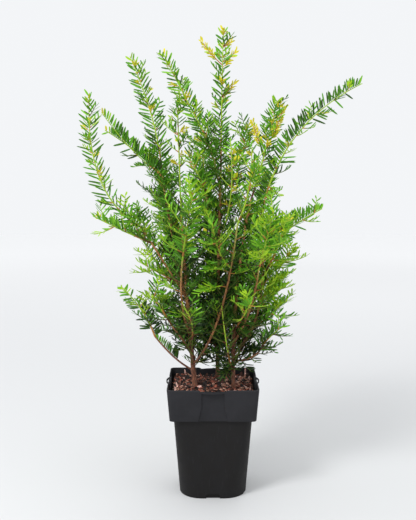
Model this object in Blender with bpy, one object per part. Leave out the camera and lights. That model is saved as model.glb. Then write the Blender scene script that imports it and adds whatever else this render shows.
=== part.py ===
"""A young English yew with three stems, grown in a square black nursery pot.

Metres, +Z up, the front towards -Y. The origin is the centre of the pot's flat underside.
The limbs are named one by one, from the soil to where each enters its foliage. The foliage
masses then grow on from them by one seeded rule: a leader, its side shoots, and needles.
"""

import math
import random

import bmesh
import bpy
from mathutils import Matrix, Vector
from mathutils.bvhtree import BVHTree
from mathutils.kdtree import KDTree

GAP = 0.0003
WELD = 2e-7
UP = Vector((0, 0, 1))

# The pot: a tapered body that goes from square to nearly round, under a deep square collar.
POT_HEIGHT = 0.196
RIM_HALF = 0.0778
COLLAR_FOOT_HALF = 0.0735
COLLAR_FOOT = 0.141
BODY_TOP_HALF = 0.0668
BODY_FOOT_HALF = 0.0580
WALL = 0.0015
FLOOR = 0.002
RIM_CORNER = 0.008
BODY_TOP_CORNER = 0.014
BODY_FOOT_CORNER = 0.039
CORNER_STEPS = 4
PANEL_HALF = 0.018
PANEL_SPREAD = 0.024
PANEL_TOP = 0.1905
PANEL_WAIST = 0.166
PANEL_DEPTH = 0.0024
DIP_HALF = 0.0205
DIP_SPREAD = 0.027
DIP_DEPTH = 0.0024
STRAP_HALF = 0.0205
STRAP_REACH = 0.0045
STRAP_WIDTH = 0.0018
STRAP_LOW = 0.1903
STRAP_STEPS = 6
NOTCH_HALF = 0.012
NOTCH_HEIGHT = 0.0085

# The potting mix fills the pot to just under its rim.
MIX_TOP = 0.184
MIX_COLLAR_HALF = 0.0695
MIX_TOP_HALF = 0.0711

# A limb: its name, what carries it and how high up that, a point halfway, its tip,
# and its radius at the foot and at the tip. A stem stands on the potting mix.
STEMS = (
    ("stem_left", (-0.031, -0.006), (-0.043, -0.002, 0.318), (-0.054, 0.004, 0.470), 0.0040, 0.0019),
    ("stem_right", (0.036, -0.019), (0.041, -0.010, 0.345), (0.066, 0.008, 0.510), 0.0034, 0.0019),
    ("stem_back", (0.009, 0.047), (0.010, 0.032, 0.375), (0.014, 0.012, 0.560), 0.0036, 0.0018),
)
BOUGHS = (
    ("bough_far_left", "stem_left", 0.335, (-0.086, -0.020, 0.408), (-0.123, -0.030, 0.467), 0.0019, 0.0015),
    ("bough_upper_left", "stem_left", 0.325, (-0.070, 0.012, 0.445), (-0.089, 0.028, 0.556), 0.0023, 0.0016),
    ("bough_low_left", "stem_left", 0.212, (-0.066, -0.012, 0.236), (-0.100, -0.022, 0.276), 0.0018, 0.0013),
    ("bough_mid_left", "stem_left", 0.245, (-0.052, -0.022, 0.270), (-0.070, -0.030, 0.296), 0.0018, 0.0014),
    ("bough_front", "stem_left", 0.222, (0.011, -0.046, 0.318), (0.040, -0.064, 0.472), 0.0020, 0.0014),
    ("bough_upper_right", "stem_right", 0.243, (0.081, -0.006, 0.330), (0.082, 0.010, 0.470), 0.0024, 0.0017),
    ("bough_low_right", "stem_right", 0.232, (0.060, -0.026, 0.238), (0.078, -0.030, 0.250), 0.0017, 0.0014),
    ("bough_inner", "stem_back", 0.430, (-0.004, 0.012, 0.478), (-0.013, 0.000, 0.526), 0.0018, 0.0014),
    ("bough_top_left", "stem_back", 0.520, (0.003, 0.003, 0.574), (-0.014, -0.005, 0.622), 0.0016, 0.0013),
    ("bough_back_left", "stem_back", 0.235, (-0.022, 0.078, 0.300), (-0.052, 0.098, 0.370), 0.0021, 0.0015),
    ("bough_back_right", "stem_back", 0.245, (0.044, 0.084, 0.320), (0.068, 0.116, 0.400), 0.0021, 0.0015),
    ("bough_back", "stem_back", 0.330, (0.004, 0.072, 0.410), (-0.008, 0.100, 0.490), 0.0019, 0.0014),
    ("bough_front_left", "stem_left", 0.270, (-0.052, -0.050, 0.340), (-0.050, -0.084, 0.415), 0.0019, 0.0014),
    ("bough_front_right", "stem_right", 0.262, (0.062, -0.054, 0.330), (0.074, -0.086, 0.400), 0.0019, 0.0014),
)

# A foliage mass: its name, what carries it and how high up that (None for the tip), a point
# halfway along its leader, the leader's tip, how many side shoots it has, and how long they are.
MASSES = (
    ("foliage_top", "stem_back", None, (0.015, 0.006, 0.680), (0.018, 0.004, 0.802), 6, 0.030),
    ("foliage_top_left", "bough_top_left", None, (-0.043, -0.012, 0.676), (-0.085, -0.018, 0.758), 5, 0.026),
    ("foliage_crown_left", "stem_left", None, (-0.058, 0.008, 0.580), (-0.061, 0.012, 0.696), 8, 0.036),
    ("foliage_upper_left", "bough_upper_left", None, (-0.106, 0.036, 0.652), (-0.146, 0.045, 0.762), 6, 0.030),
    ("foliage_outer_left", "bough_upper_left", 0.548, (-0.132, 0.018, 0.592), (-0.186, 0.004, 0.630), 3, 0.030),
    ("foliage_far_left", "bough_far_left", None, (-0.190, -0.036, 0.550), (-0.203, -0.040, 0.692), 6, 0.027),
    ("foliage_left", "bough_far_left", 0.438, (-0.152, -0.048, 0.462), (-0.200, -0.054, 0.486), 4, 0.046),
    ("foliage_mid_left", "bough_far_left", 0.372, (-0.092, -0.018, 0.386), (-0.130, -0.022, 0.408), 5, 0.050),
    ("foliage_low_left", "bough_low_left", None, (-0.121, -0.030, 0.322), (-0.156, -0.036, 0.366), 5, 0.034),
    ("foliage_inner_left", "bough_mid_left", None, (-0.088, -0.036, 0.328), (-0.105, -0.042, 0.360), 5, 0.046),
    ("foliage_front_tall", "bough_front", None, (0.058, -0.072, 0.532), (0.062, -0.076, 0.600), 7, 0.044),
    ("foliage_inner_top", "bough_inner", None, (-0.026, -0.010, 0.556), (-0.044, -0.018, 0.590), 5, 0.036),
    ("foliage_thin_top", "stem_back", 0.440, (0.030, -0.018, 0.516), (0.029, -0.024, 0.612), 6, 0.034),
    ("foliage_upper_right", "stem_right", None, (0.094, 0.020, 0.606), (0.111, 0.028, 0.684), 5, 0.036),
    ("foliage_far_right", "bough_upper_right", None, (0.138, 0.004, 0.614), (0.257, 0.000, 0.709), 6, 0.027),
    ("foliage_right", "bough_upper_right", 0.425, (0.140, 0.002, 0.466), (0.189, -0.004, 0.496), 6, 0.036),
    ("foliage_mid_right", "bough_upper_right", 0.330, (0.112, 0.000, 0.384), (0.140, 0.004, 0.434), 6, 0.056),
    ("foliage_lower_right", "bough_upper_right", 0.285, (0.100, -0.010, 0.312), (0.134, -0.012, 0.346), 6, 0.056),
    ("foliage_low_right", "bough_low_right", None, (0.098, -0.034, 0.278), (0.122, -0.038, 0.298), 4, 0.040),
    ("foliage_front_low", "stem_right", 0.212, (0.024, -0.054, 0.262), (0.014, -0.066, 0.340), 7, 0.060),
    ("foliage_front_left", "bough_front_left", None, (-0.042, -0.112, 0.468), (-0.030, -0.140, 0.530), 7, 0.062),
    ("foliage_front_right", "bough_front_right", None, (0.082, -0.112, 0.440), (0.094, -0.140, 0.500), 7, 0.062),
    ("foliage_front", "bough_front", 0.400, (0.010, -0.104, 0.430), (-0.002, -0.142, 0.480), 7, 0.060),
    ("foliage_front_skirt_left", "stem_left", 0.262, (-0.034, -0.062, 0.296), (-0.040, -0.112, 0.334), 7, 0.056),
    ("foliage_front_skirt_right", "stem_right", 0.285, (0.048, -0.062, 0.314), (0.062, -0.112, 0.352), 7, 0.056),
    ("foliage_side_right", "bough_upper_right", 0.380, (0.108, -0.040, 0.430), (0.120, -0.066, 0.490), 6, 0.056),
    ("foliage_back_left", "bough_back_left", None, (-0.080, 0.120, 0.440), (-0.104, 0.142, 0.520), 8, 0.064),
    ("foliage_back_right", "bough_back_right", None, (0.092, 0.142, 0.470), (0.112, 0.166, 0.556), 8, 0.064),
    ("foliage_back", "bough_back", None, (-0.016, 0.132, 0.560), (-0.022, 0.160, 0.636), 7, 0.060),
    ("foliage_back_top", "stem_back", 0.470, (0.044, 0.062, 0.560), (0.066, 0.082, 0.648), 7, 0.060),
    ("foliage_back_upper_left", "stem_left", 0.400, (-0.076, 0.062, 0.474), (-0.092, 0.094, 0.560), 7, 0.060),
    ("foliage_side_back_left", "bough_far_left", 0.352, (-0.102, 0.022, 0.404), (-0.142, 0.050, 0.470), 6, 0.056),
    ("foliage_side_back_right", "bough_upper_right", 0.355, (0.106, 0.052, 0.410), (0.130, 0.088, 0.476), 6, 0.056),
    ("foliage_back_skirt_left", "stem_left", 0.238, (-0.072, 0.044, 0.282), (-0.112, 0.084, 0.330), 6, 0.056),
    ("foliage_back_skirt_right", "stem_right", 0.232, (0.074, 0.030, 0.278), (0.112, 0.074, 0.330), 6, 0.056),
    ("foliage_back_skirt", "stem_back", 0.262, (0.006, 0.092, 0.292), (0.004, 0.142, 0.340), 6, 0.056),
    ("foliage_heart", "stem_back", 0.250, (-0.006, 0.014, 0.310), (-0.014, -0.010, 0.392), 8, 0.068),
    ("foliage_heart_left", "stem_left", 0.290, (-0.074, -0.004, 0.316), (-0.098, -0.002, 0.356), 7, 0.060),
    ("foliage_heart_right", "stem_right", 0.310, (0.048, 0.026, 0.360), (0.056, 0.044, 0.430), 7, 0.066),
    ("foliage_heart_high", "stem_back", 0.360, (-0.014, 0.044, 0.410), (-0.024, 0.050, 0.486), 7, 0.064),
)

# Side shoots that show by themselves: the mass, how far along its leader, and the shoot's tip.
MARKED_SHOOTS = (
    ("foliage_top", 0.74, (-0.021, 0.000, 0.780)),
    ("foliage_top", 0.86, (0.031, 0.004, 0.778)),
    ("foliage_top", 0.76, (0.040, 0.004, 0.762)),
    ("foliage_top", 0.52, (0.037, 0.004, 0.710)),
    ("foliage_crown_left", 0.68, (-0.088, 0.010, 0.645)),
    ("foliage_outer_left", 0.12, (-0.190, -0.006, 0.660)),
    ("foliage_left", 0.30, (-0.184, -0.040, 0.484)),
    ("foliage_mid_left", 0.20, (-0.120, -0.026, 0.392)),
    ("foliage_upper_right", 0.45, (0.124, 0.024, 0.672)),
    ("foliage_upper_right", 0.40, (0.068, 0.010, 0.646)),
    ("foliage_far_right", 0.20, (0.114, -0.008, 0.516)),
    ("foliage_right", 0.25, (0.152, 0.000, 0.492)),
    ("foliage_low_right", 0.10, (0.117, -0.040, 0.268)),
    ("foliage_front_low", 0.22, (0.020, -0.046, 0.208)),
)

# The growing rule, with needles larger than life, because each stands for several.
NEEDLE = 0.026
NEEDLE_SPACING = 0.0155
NEEDLE_ANGLE = math.radians(47)
SHOOT_SPACING = 0.0150
SHOOT_ANGLE = math.radians(52)
LIMB_STEP = 0.032
LEADER_RADIUS = 0.0017
SHOOT_RADIUS = 0.0011
LEAST_SHOOT = 0.016
LEADER_TWIST = math.radians(25)
GOLDEN_TURN = math.radians(137.5)
ALL_ROUND = (0, 1, 2)
TWO_RANKS = (0, 2)
BARE = ()


def clear_scene():
    for thing in list(bpy.data.objects):
        bpy.data.objects.remove(thing, do_unlink=True)


def new_collection(name, hidden=False):
    group = bpy.data.collections.new(name)
    group.hide_render = hidden
    bpy.context.scene.collection.children.link(group)
    return group


def material(name, colour, roughness):
    finish = bpy.data.materials.new(name)
    finish.use_nodes = True
    shader = finish.node_tree.nodes["Principled BSDF"]
    shader.inputs["Base Color"].default_value = (*colour, 1)
    shader.inputs["Roughness"].default_value = roughness
    shader.inputs["Metallic"].default_value = 0
    finish.diffuse_color = (*colour, 1)
    return finish


def evaluated_mesh(thing):
    """The object's mesh with its modifiers applied, and its doubled points joined."""
    bpy.context.view_layer.update()
    graph = bpy.context.evaluated_depsgraph_get()
    mesh = bpy.data.meshes.new_from_object(thing.evaluated_get(graph))
    shape = bmesh.new()
    shape.from_mesh(mesh)
    bmesh.ops.remove_doubles(shape, verts=shape.verts, dist=1e-6)
    bmesh.ops.dissolve_degenerate(shape, edges=shape.edges, dist=1e-7)
    bmesh.ops.recalc_face_normals(shape, faces=shape.faces)
    shape.to_mesh(mesh)
    shape.free()
    return mesh


def as_mesh(thing, group):
    """Turns a curve, or an object with modifiers, into a plain mesh object in its place."""
    name = thing.name
    mesh = evaluated_mesh(thing)
    place = thing.matrix_world.copy()
    bpy.data.objects.remove(thing, do_unlink=True)
    solid = bpy.data.objects.new(name, mesh)
    solid.matrix_world = place
    group.objects.link(solid)
    return solid


def mesh_object(name, points, faces, group):
    mesh = bpy.data.meshes.new(name)
    mesh.from_pydata(points, [], faces)
    thing = bpy.data.objects.new(name, mesh)
    group.objects.link(thing)
    return thing


def boolean(thing, tool, operation):
    """Adds a Boolean with one object, or with a whole collection of them."""
    modifier = thing.modifiers.new(operation.lower(), "BOOLEAN")
    modifier.operation = operation
    modifier.solver = "EXACT"
    if isinstance(tool, bpy.types.Collection):
        modifier.operand_type = "COLLECTION"
        modifier.collection = tool
    else:
        modifier.object = tool
    return modifier


def empty_out(group):
    for thing in list(group.objects):
        bpy.data.objects.remove(thing, do_unlink=True)


# The pot and its filling


def rounded_square(half, corner, height):
    """The points of a square with rounded corners, anticlockwise from the front's right end."""
    points = []
    for quarter in range(4):
        start = -math.pi / 2 + quarter * math.pi / 2
        centre = Matrix.Rotation(quarter * math.pi / 2, 2) @ Vector((half - corner, corner - half))
        for step in range(CORNER_STEPS + 1):
            turn = start + step / CORNER_STEPS * math.pi / 2
            points.append((centre.x + corner * math.cos(turn), centre.y + corner * math.sin(turn), height))
    return points


def loft(name, rings, group):
    """Joins rings of like count by walls, and closes the first and the last one."""
    count = len(rings[0])
    points = [point for ring in rings for point in ring]
    faces = [tuple(reversed(range(count)))]
    for level in range(len(rings) - 1):
        for i in range(count):
            j = (i + 1) % count
            low = level * count
            faces.append((low + i, low + j, low + count + j, low + count + i))
    faces.append(tuple(range(len(points) - count, len(points))))
    return mesh_object(name, points, faces, group)


def plate(name, outline, thickness, group):
    """A flat outline in its own XY plane, thickened both ways along Z."""
    curve = bpy.data.curves.new(name, "CURVE")
    curve.dimensions = "2D"
    curve.fill_mode = "BOTH"
    curve.extrude = thickness / 2
    spline = curve.splines.new("POLY")
    spline.points.add(len(outline) - 1)
    for point, (x, y) in zip(spline.points, outline):
        point.co = (x, y, 0, 1)
    spline.use_cyclic_u = True
    thing = bpy.data.objects.new(name, curve)
    group.objects.link(thing)
    return as_mesh(thing, group)


def collar_half(height):
    """Half the collar's outer width at a height."""
    share = (height - COLLAR_FOOT) / (POT_HEIGHT - COLLAR_FOOT)
    return COLLAR_FOOT_HALF + share * (RIM_HALF - COLLAR_FOOT_HALF)


def facing(side):
    """Turns what is built for the front to one of the four sides."""
    return Matrix.Rotation(side * math.pi / 2, 4, "Z")


def upright(offset):
    """Stands a plate up, its Y axis pointing up, at a distance in front of the middle."""
    return Matrix.Translation((0, -offset, 0)) @ Matrix.Rotation(math.pi / 2, 4, "X")


def collar_lean():
    return math.atan((RIM_HALF - COLLAR_FOOT_HALF) / (POT_HEIGHT - COLLAR_FOOT))


def make_pot(parts, tools):
    shell = loft("pot", [
        rounded_square(BODY_FOOT_HALF - 0.0008, BODY_FOOT_CORNER, 0),
        rounded_square(BODY_FOOT_HALF, BODY_FOOT_CORNER, 0.0015),
        rounded_square(BODY_TOP_HALF, BODY_TOP_CORNER, COLLAR_FOOT),
        rounded_square(COLLAR_FOOT_HALF, RIM_CORNER, COLLAR_FOOT),
        rounded_square(RIM_HALF, RIM_CORNER, POT_HEIGHT - 0.0006),
        rounded_square(RIM_HALF - 0.0005, RIM_CORNER, POT_HEIGHT),
        rounded_square(RIM_HALF - WALL, RIM_CORNER, POT_HEIGHT),
        rounded_square(COLLAR_FOOT_HALF - WALL, RIM_CORNER, COLLAR_FOOT + WALL),
        rounded_square(BODY_TOP_HALF - WALL, BODY_TOP_CORNER, COLLAR_FOOT + WALL),
        rounded_square(BODY_FOOT_HALF - WALL, BODY_FOOT_CORNER - WALL, FLOOR),
    ], parts)

    # Behind each recessed panel the wall steps in, and over it a strap bows out of the rim.
    added = new_collection("pot_additions", hidden=True)
    lean = Matrix.Rotation(collar_lean(), 4, "X")
    pad_height = PANEL_TOP + 0.002 - COLLAR_FOOT
    pad_outline = [(-PANEL_SPREAD - 0.002, 0), (PANEL_SPREAD + 0.002, 0)]
    pad_outline += [(PANEL_SPREAD + 0.002, pad_height), (-PANEL_SPREAD - 0.002, pad_height)]
    strap_outline = []
    for radius_change, order in ((0, 1), (-STRAP_WIDTH, -1)):
        arc = []
        for step in range(STRAP_STEPS + 1):
            across = -1 + 2 * step / STRAP_STEPS
            reach = (STRAP_REACH + WALL / 2 + radius_change) * (1 - across**2)
            arc.append((across * (STRAP_HALF + radius_change * 0.6), -reach))
        strap_outline += arc[::order]
    for side in range(4):
        pad = plate(f"pad_{side}", pad_outline, PANEL_DEPTH, added)
        pad_place = Matrix.Translation((0, -COLLAR_FOOT_HALF + WALL / 2 + PANEL_DEPTH / 2, COLLAR_FOOT))
        pad.matrix_world = facing(side) @ pad_place @ lean @ Matrix.Rotation(math.pi / 2, 4, "X")
        strap = plate(f"strap_{side}", strap_outline, POT_HEIGHT - DIP_DEPTH - STRAP_LOW, added)
        strap_height = (POT_HEIGHT - DIP_DEPTH + STRAP_LOW) / 2
        strap_place = Matrix.Translation((0, -collar_half(strap_height) + WALL / 2, strap_height))
        strap.matrix_world = facing(side) @ strap_place

    # The cuts: the panels, the dips in the rim above them, and the drain notches at the foot.
    panel_outline = [(-PANEL_HALF, PANEL_TOP - COLLAR_FOOT), (-PANEL_HALF, PANEL_WAIST - COLLAR_FOOT)]
    panel_outline += [(-PANEL_SPREAD, 0), (-PANEL_SPREAD, -0.003), (PANEL_SPREAD, -0.003), (PANEL_SPREAD, 0)]
    panel_outline += [(PANEL_HALF, PANEL_WAIST - COLLAR_FOOT), (PANEL_HALF, PANEL_TOP - COLLAR_FOOT)]
    dip_outline = [(-DIP_SPREAD, 0.001), (-DIP_HALF, -DIP_DEPTH), (DIP_HALF, -DIP_DEPTH), (DIP_SPREAD, 0.001)]
    notch_outline = [(-NOTCH_HALF, -0.001), (NOTCH_HALF, -0.001), (NOTCH_HALF, NOTCH_HEIGHT * 0.6)]
    notch_outline += [(NOTCH_HALF * 0.7, NOTCH_HEIGHT), (-NOTCH_HALF * 0.7, NOTCH_HEIGHT)]
    notch_outline += [(-NOTCH_HALF, NOTCH_HEIGHT * 0.6)]
    cutter_depth = 0.006
    for side in range(4):
        panel = plate(f"panel_{side}", panel_outline, cutter_depth, tools)
        panel_place = Matrix.Translation((0, -COLLAR_FOOT_HALF + PANEL_DEPTH - cutter_depth / 2, COLLAR_FOOT))
        panel.matrix_world = facing(side) @ panel_place @ lean @ Matrix.Rotation(math.pi / 2, 4, "X")
        notch = plate(f"notch_{side}", notch_outline, 0.008, tools)
        notch.matrix_world = facing(side) @ upright(BODY_FOOT_HALF)
        dip = plate(f"dip_{side}", dip_outline, 0.012, tools)
        dip.matrix_world = facing(side) @ Matrix.Translation((0, 0, POT_HEIGHT)) @ upright(RIM_HALF)

    boolean(shell, added, "UNION")
    boolean(shell, tools, "DIFFERENCE")
    pot = as_mesh(shell, parts)
    empty_out(added)
    bpy.data.collections.remove(added)
    return pot


def make_potting_mix(parts):
    clear = WALL + GAP
    return loft("potting_mix", [
        rounded_square(BODY_FOOT_HALF - clear, BODY_FOOT_CORNER - WALL, FLOOR + GAP),
        rounded_square(BODY_TOP_HALF - clear, BODY_TOP_CORNER, COLLAR_FOOT + WALL + GAP),
        rounded_square(MIX_COLLAR_HALF, RIM_CORNER, COLLAR_FOOT + WALL + GAP),
        rounded_square(MIX_TOP_HALF, RIM_CORNER, MIX_TOP - 0.002),
        rounded_square(MIX_TOP_HALF - 0.003, RIM_CORNER, MIX_TOP),
    ], parts)


# Limbs and leaders: a bent line, its radius, and where it meets what carries it


class Line:
    """A line that bends once, from a foot through a middle point to a tip, and tapers."""

    def __init__(self, foot, middle, tip, foot_radius, tip_radius):
        self.foot, self.tip = Vector(foot), Vector(tip)
        self.handle = 2 * Vector(middle) - (self.foot + self.tip) / 2
        self.foot_radius, self.tip_radius = foot_radius, tip_radius
        steps = [self.at(i / 16) for i in range(17)]
        self.length = sum((b - a).length for a, b in zip(steps, steps[1:]))

    def at(self, share):
        rest = 1 - share
        return rest * rest * self.foot + 2 * rest * share * self.handle + share * share * self.tip

    def heading(self, share):
        return ((1 - share) * (self.handle - self.foot) + share * (self.tip - self.handle)).normalized()

    def radius(self, share):
        return self.foot_radius + share * (self.tip_radius - self.foot_radius)

    def share_at_height(self, height):
        low, high = 0.0, 1.0
        for _ in range(30):
            middle = (low + high) / 2
            if self.at(middle).z < height:
                low = middle
            else:
                high = middle
        return low

    def across(self, share, turn=0.0):
        """Two directions square to the line, turned round it."""
        ahead = self.heading(share)
        side = ahead.cross(UP)
        if side.length < 0.05:
            side = ahead.cross(Vector((0, 1, 0)))
        side.normalize()
        over = side.cross(ahead)
        return (
            math.cos(turn) * side + math.sin(turn) * over,
            math.cos(turn) * over - math.sin(turn) * side,
        )

    def ring(self, share, radius, sides, turn=0.0):
        points = []
        for i in range(sides):
            side, over = self.across(share, turn + i * 2 * math.pi / sides)
            points.append(self.at(share) + radius * side)
        return points


def surface_of(thing):
    """The object's surface, for measuring how near another piece comes."""
    shape = bmesh.new()
    shape.from_mesh(thing.data)
    shape.transform(thing.matrix_world)
    surface = BVHTree.FromBMesh(shape)
    shape.free()
    return surface


def clearance(point, surface):
    """The distance from a point to a surface, negative inside it."""
    nearest, normal, _, distance = surface.find_nearest(point)
    return distance if (point - nearest).dot(normal) > 0 else -distance


def seat(line, surface, radius):
    """The share of the line at which a foot of this radius clears what carries it."""
    share = 0.0
    while share < 0.6:
        foot = [line.at(share)]
        for part in (0.33, 0.66, 1.0):
            foot += line.ring(share, part * radius, 12)
        if min(clearance(point, surface) for point in foot) >= GAP:
            break
        share += 0.0002 / line.length
    return share


def make_limb(name, line, start, parts, sides_setting, flare=0.0, flat_foot=None):
    """One tapering limb: a curve with a radius at each point, its foot flared and cut level."""
    curve = bpy.data.curves.new(name, "CURVE")
    curve.dimensions = "3D"
    curve.bevel_depth = 0.001
    curve.bevel_resolution = sides_setting
    curve.use_fill_caps = True
    count = max(4, round(line.length * (1 - start) / LIMB_STEP))
    shares = [start + (1 - start) * i / count for i in range(count + 1)]
    if flare:
        shares = [0, 0.006 / line.length, 0.014 / line.length] + shares[1:]
    spline = curve.splines.new("POLY")
    spline.points.add(len(shares) - 1)
    for point, share in zip(spline.points, shares):
        point.co = (*line.at(share), 1)
        spread = flare * math.exp(-share * line.length / 0.006)
        point.radius = (line.radius(share) + spread) / curve.bevel_depth
    thing = bpy.data.objects.new(name, curve)
    parts.objects.link(thing)
    solid = as_mesh(thing, parts)
    if flat_foot is not None:
        shape = bmesh.new()
        shape.from_mesh(solid.data)
        everything = list(shape.verts) + list(shape.edges) + list(shape.faces)
        level = (0, 0, flat_foot)
        bmesh.ops.bisect_plane(shape, geom=everything, plane_co=level, plane_no=-UP, clear_outer=True)
        bmesh.ops.holes_fill(shape, edges=[edge for edge in shape.edges if edge.is_boundary])
        bmesh.ops.recalc_face_normals(shape, faces=shape.faces)
        shape.to_mesh(solid.data)
        shape.free()
    solid.data.shade_smooth()
    return solid


def make_stems(parts, lines, surfaces):
    level = MIX_TOP + GAP
    sunk = 0.005
    for name, (x, y), middle, tip, foot_radius, tip_radius in STEMS:
        line = Line((x, y, level - sunk), middle, tip, foot_radius, tip_radius)
        solid = make_limb(name, line, 0.0, parts, 2, flare=0.0022, flat_foot=level)
        lines[name] = line
        surfaces[name] = surface_of(solid)


def make_boughs(parts, lines, surfaces):
    for name, carrier, height, middle, tip, foot_radius, tip_radius in BOUGHS:
        stem = lines[carrier]
        foot = stem.at(stem.share_at_height(height))
        line = Line(foot, middle, tip, foot_radius, tip_radius)
        start = seat(line, surfaces[carrier], foot_radius)
        solid = make_limb(name, line, start, parts, 1)
        lines[name] = line
        surfaces[name] = surface_of(solid)


# Foliage


class Space:
    """What is already taken, and which mass's leader is nearest to a point."""

    def __init__(self, surfaces, leaders):
        self.taken = list(surfaces.values())
        self.tree = KDTree(sum(17 * len(lines) for lines in leaders.values()))
        self.owners = []
        for name, lines in leaders.items():
            for line in lines:
                for i in range(17):
                    self.tree.insert(line.at(i / 16), len(self.owners))
                    self.owners.append(name)
        self.tree.balance()

    def belongs(self, point, name):
        return self.owners[self.tree.find(point)[1]] == name

    def free(self, points, faces):
        shape = BVHTree.FromPolygons(points, faces)
        return not any(shape.overlap(other) for other in self.taken)


def grow_shoot(line, start, spacing, ranks, twist, length_of, space, name):
    """A three-sided twig whose faces are drawn out to needles. It gives its points and faces.

    ranks holds which of the three sides bear needles, and the stretch by its foot has none.
    A needle that would leave the mass's own space, or touch what is already there, isn't
    grown, and its side stays flat."""
    count = max(2, round(line.length * (1 - start) / spacing))
    shares = [start + (1 - start) * i / count for i in range(count)]
    points = []
    for i, share in enumerate(shares):
        points += line.ring(share, line.radius(share), 3, math.pi / 2 + twist * i)
    faces = [(2, 1, 0)]
    for i in range(count - 1):
        ahead = line.heading(shares[i + 1])
        for side in range(3):
            corners = (3 * i + side, 3 * i + (side + 1) % 3, 3 * i + 3 + (side + 1) % 3, 3 * i + 3 + side)
            root = sum((points[c] for c in corners), Vector()) / 4
            outward = root - line.at((shares[i] + shares[i + 1]) / 2)
            outward = (outward - outward.dot(ahead) * ahead).normalized()
            length = length_of(shares[i])
            tip = root + length * (math.cos(NEEDLE_ANGLE) * ahead + math.sin(NEEDLE_ANGLE) * outward)
            middle = root + 0.5 * (tip - root)
            grows = side in ranks and i > 0
            grows = grows and space.belongs(tip, name) and space.belongs(middle, name)
            if grows:
                fat = [root + 1.3 * (points[c] - root) for c in corners]
                reach = root + 1.04 * (tip - root)
                sides = [(0, 1, 4), (1, 2, 4), (2, 3, 4), (3, 0, 4)]
                grows = space.free(fat + [reach], sides)
            if grows:
                points.append(tip)
                apex = len(points) - 1
                faces += [(corners[j], corners[(j + 1) % 4], apex) for j in range(4)]
            else:
                faces += [(corners[0], corners[1], corners[2]), (corners[0], corners[2], corners[3])]
    # The needles' tips were added behind the rings, so the rings' indices still hold.
    last = 3 * (count - 1)
    points.append(line.at(1))
    faces += [(last + side, last + (side + 1) % 3, len(points) - 1) for side in range(3)]
    return points, faces


def twig_is_free(line, space, name):
    """Whether a bare side shoot keeps to its mass's space and touches nothing."""
    if not all(space.belongs(line.at(share), name) for share in (0.5, 0.8, 1.0)):
        return False
    thicker = Line(line.foot, line.at(0.5), line.tip, 1.5 * line.foot_radius, 1.5 * line.foot_radius)
    return space.free(*grow_shoot(thicker, 0.0, SHOOT_SPACING, BARE, 0.0, needle_length, space, name))


def side_lines(name, leader, count, reach, chance, space):
    """The seeded rule: side shoots turn round the leader and get shorter towards its tip."""
    lines = []
    for mass, share, tip in MARKED_SHOOTS:
        if mass == name:
            foot = leader.at(share)
            tip = Vector(tip)
            middle = (foot + tip) / 2 - 0.06 * (tip - foot).length * UP
            lines.append(Line(foot, middle, tip, SHOOT_RADIUS, SHOOT_RADIUS * 0.5))
    turn = chance.uniform(0, 2 * math.pi)
    for i in range(count):
        share = 0.10 + 0.78 * (i + chance.uniform(0.2, 0.8)) / count
        turn += GOLDEN_TURN + chance.uniform(-0.3, 0.3)
        length = reach * (1.15 - 0.6 * share) * chance.uniform(0.85, 1.1)
        side, _ = leader.across(share, turn)
        heading = math.cos(SHOOT_ANGLE) * leader.heading(share) + math.sin(SHOOT_ANGLE) * side
        foot = leader.at(share)
        while length > LEAST_SHOOT:
            tip = foot + length * heading + 0.12 * length * UP
            line = Line(foot, foot + 0.5 * length * heading, tip, SHOOT_RADIUS, SHOOT_RADIUS * 0.5)
            if twig_is_free(line, space, name):
                lines.append(line)
                break
            length *= 0.75
    return lines


def only_main_body(mesh):
    """Keeps the largest closed body: sealed hollows are filled, and loose scraps dropped."""
    shape = bmesh.new()
    shape.from_mesh(mesh)
    bmesh.ops.triangulate(shape, faces=shape.faces)
    left = set(shape.verts)
    bodies = []
    while left:
        body, edge_of_body = set(), [left.pop()]
        while edge_of_body:
            vertex = edge_of_body.pop()
            body.add(vertex)
            for link in vertex.link_edges:
                other = link.other_vert(vertex)
                if other in left:
                    left.remove(other)
                    edge_of_body.append(other)
        bodies.append(body)
    bodies.sort(key=len, reverse=True)
    loose = [vertex for body in bodies[1:] for vertex in body]
    bmesh.ops.delete(shape, geom=loose, context="VERTS")
    shape.to_mesh(mesh)
    shape.free()


def is_closed(mesh):
    """Whether every edge joins just two faces, also once near points are welded."""
    shape = bmesh.new()
    shape.from_mesh(mesh)
    bmesh.ops.remove_doubles(shape, verts=shape.verts, dist=WELD)
    closed = all(len(edge.link_faces) == 2 for edge in shape.edges)
    shape.free()
    return closed


def join_shoots(trunk, side_group, parts):
    """Fuses the side shoots to their leader in one union. If that leaves a fault, the
    other solver is tried, and then the union again with one shoot fewer."""
    while side_group.objects:
        for solver in ("EXACT", "MANIFOLD"):
            modifier = boolean(trunk, side_group, "UNION")
            modifier.solver = solver
            mesh = evaluated_mesh(trunk)
            trunk.modifiers.clear()
            only_main_body(mesh)
            if is_closed(mesh):
                trunk.data = mesh
                return trunk
        bpy.data.objects.remove(side_group.objects[-1], do_unlink=True)
    return trunk


def needle_length(share):
    """Needles are longest in the middle of a shoot, and short at its growing tip."""
    return NEEDLE * (0.72 + 0.28 * math.sin(math.pi * min(1.0, 0.15 + share)))


def shoot_needle_length(share):
    return 0.85 * needle_length(share)


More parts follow.
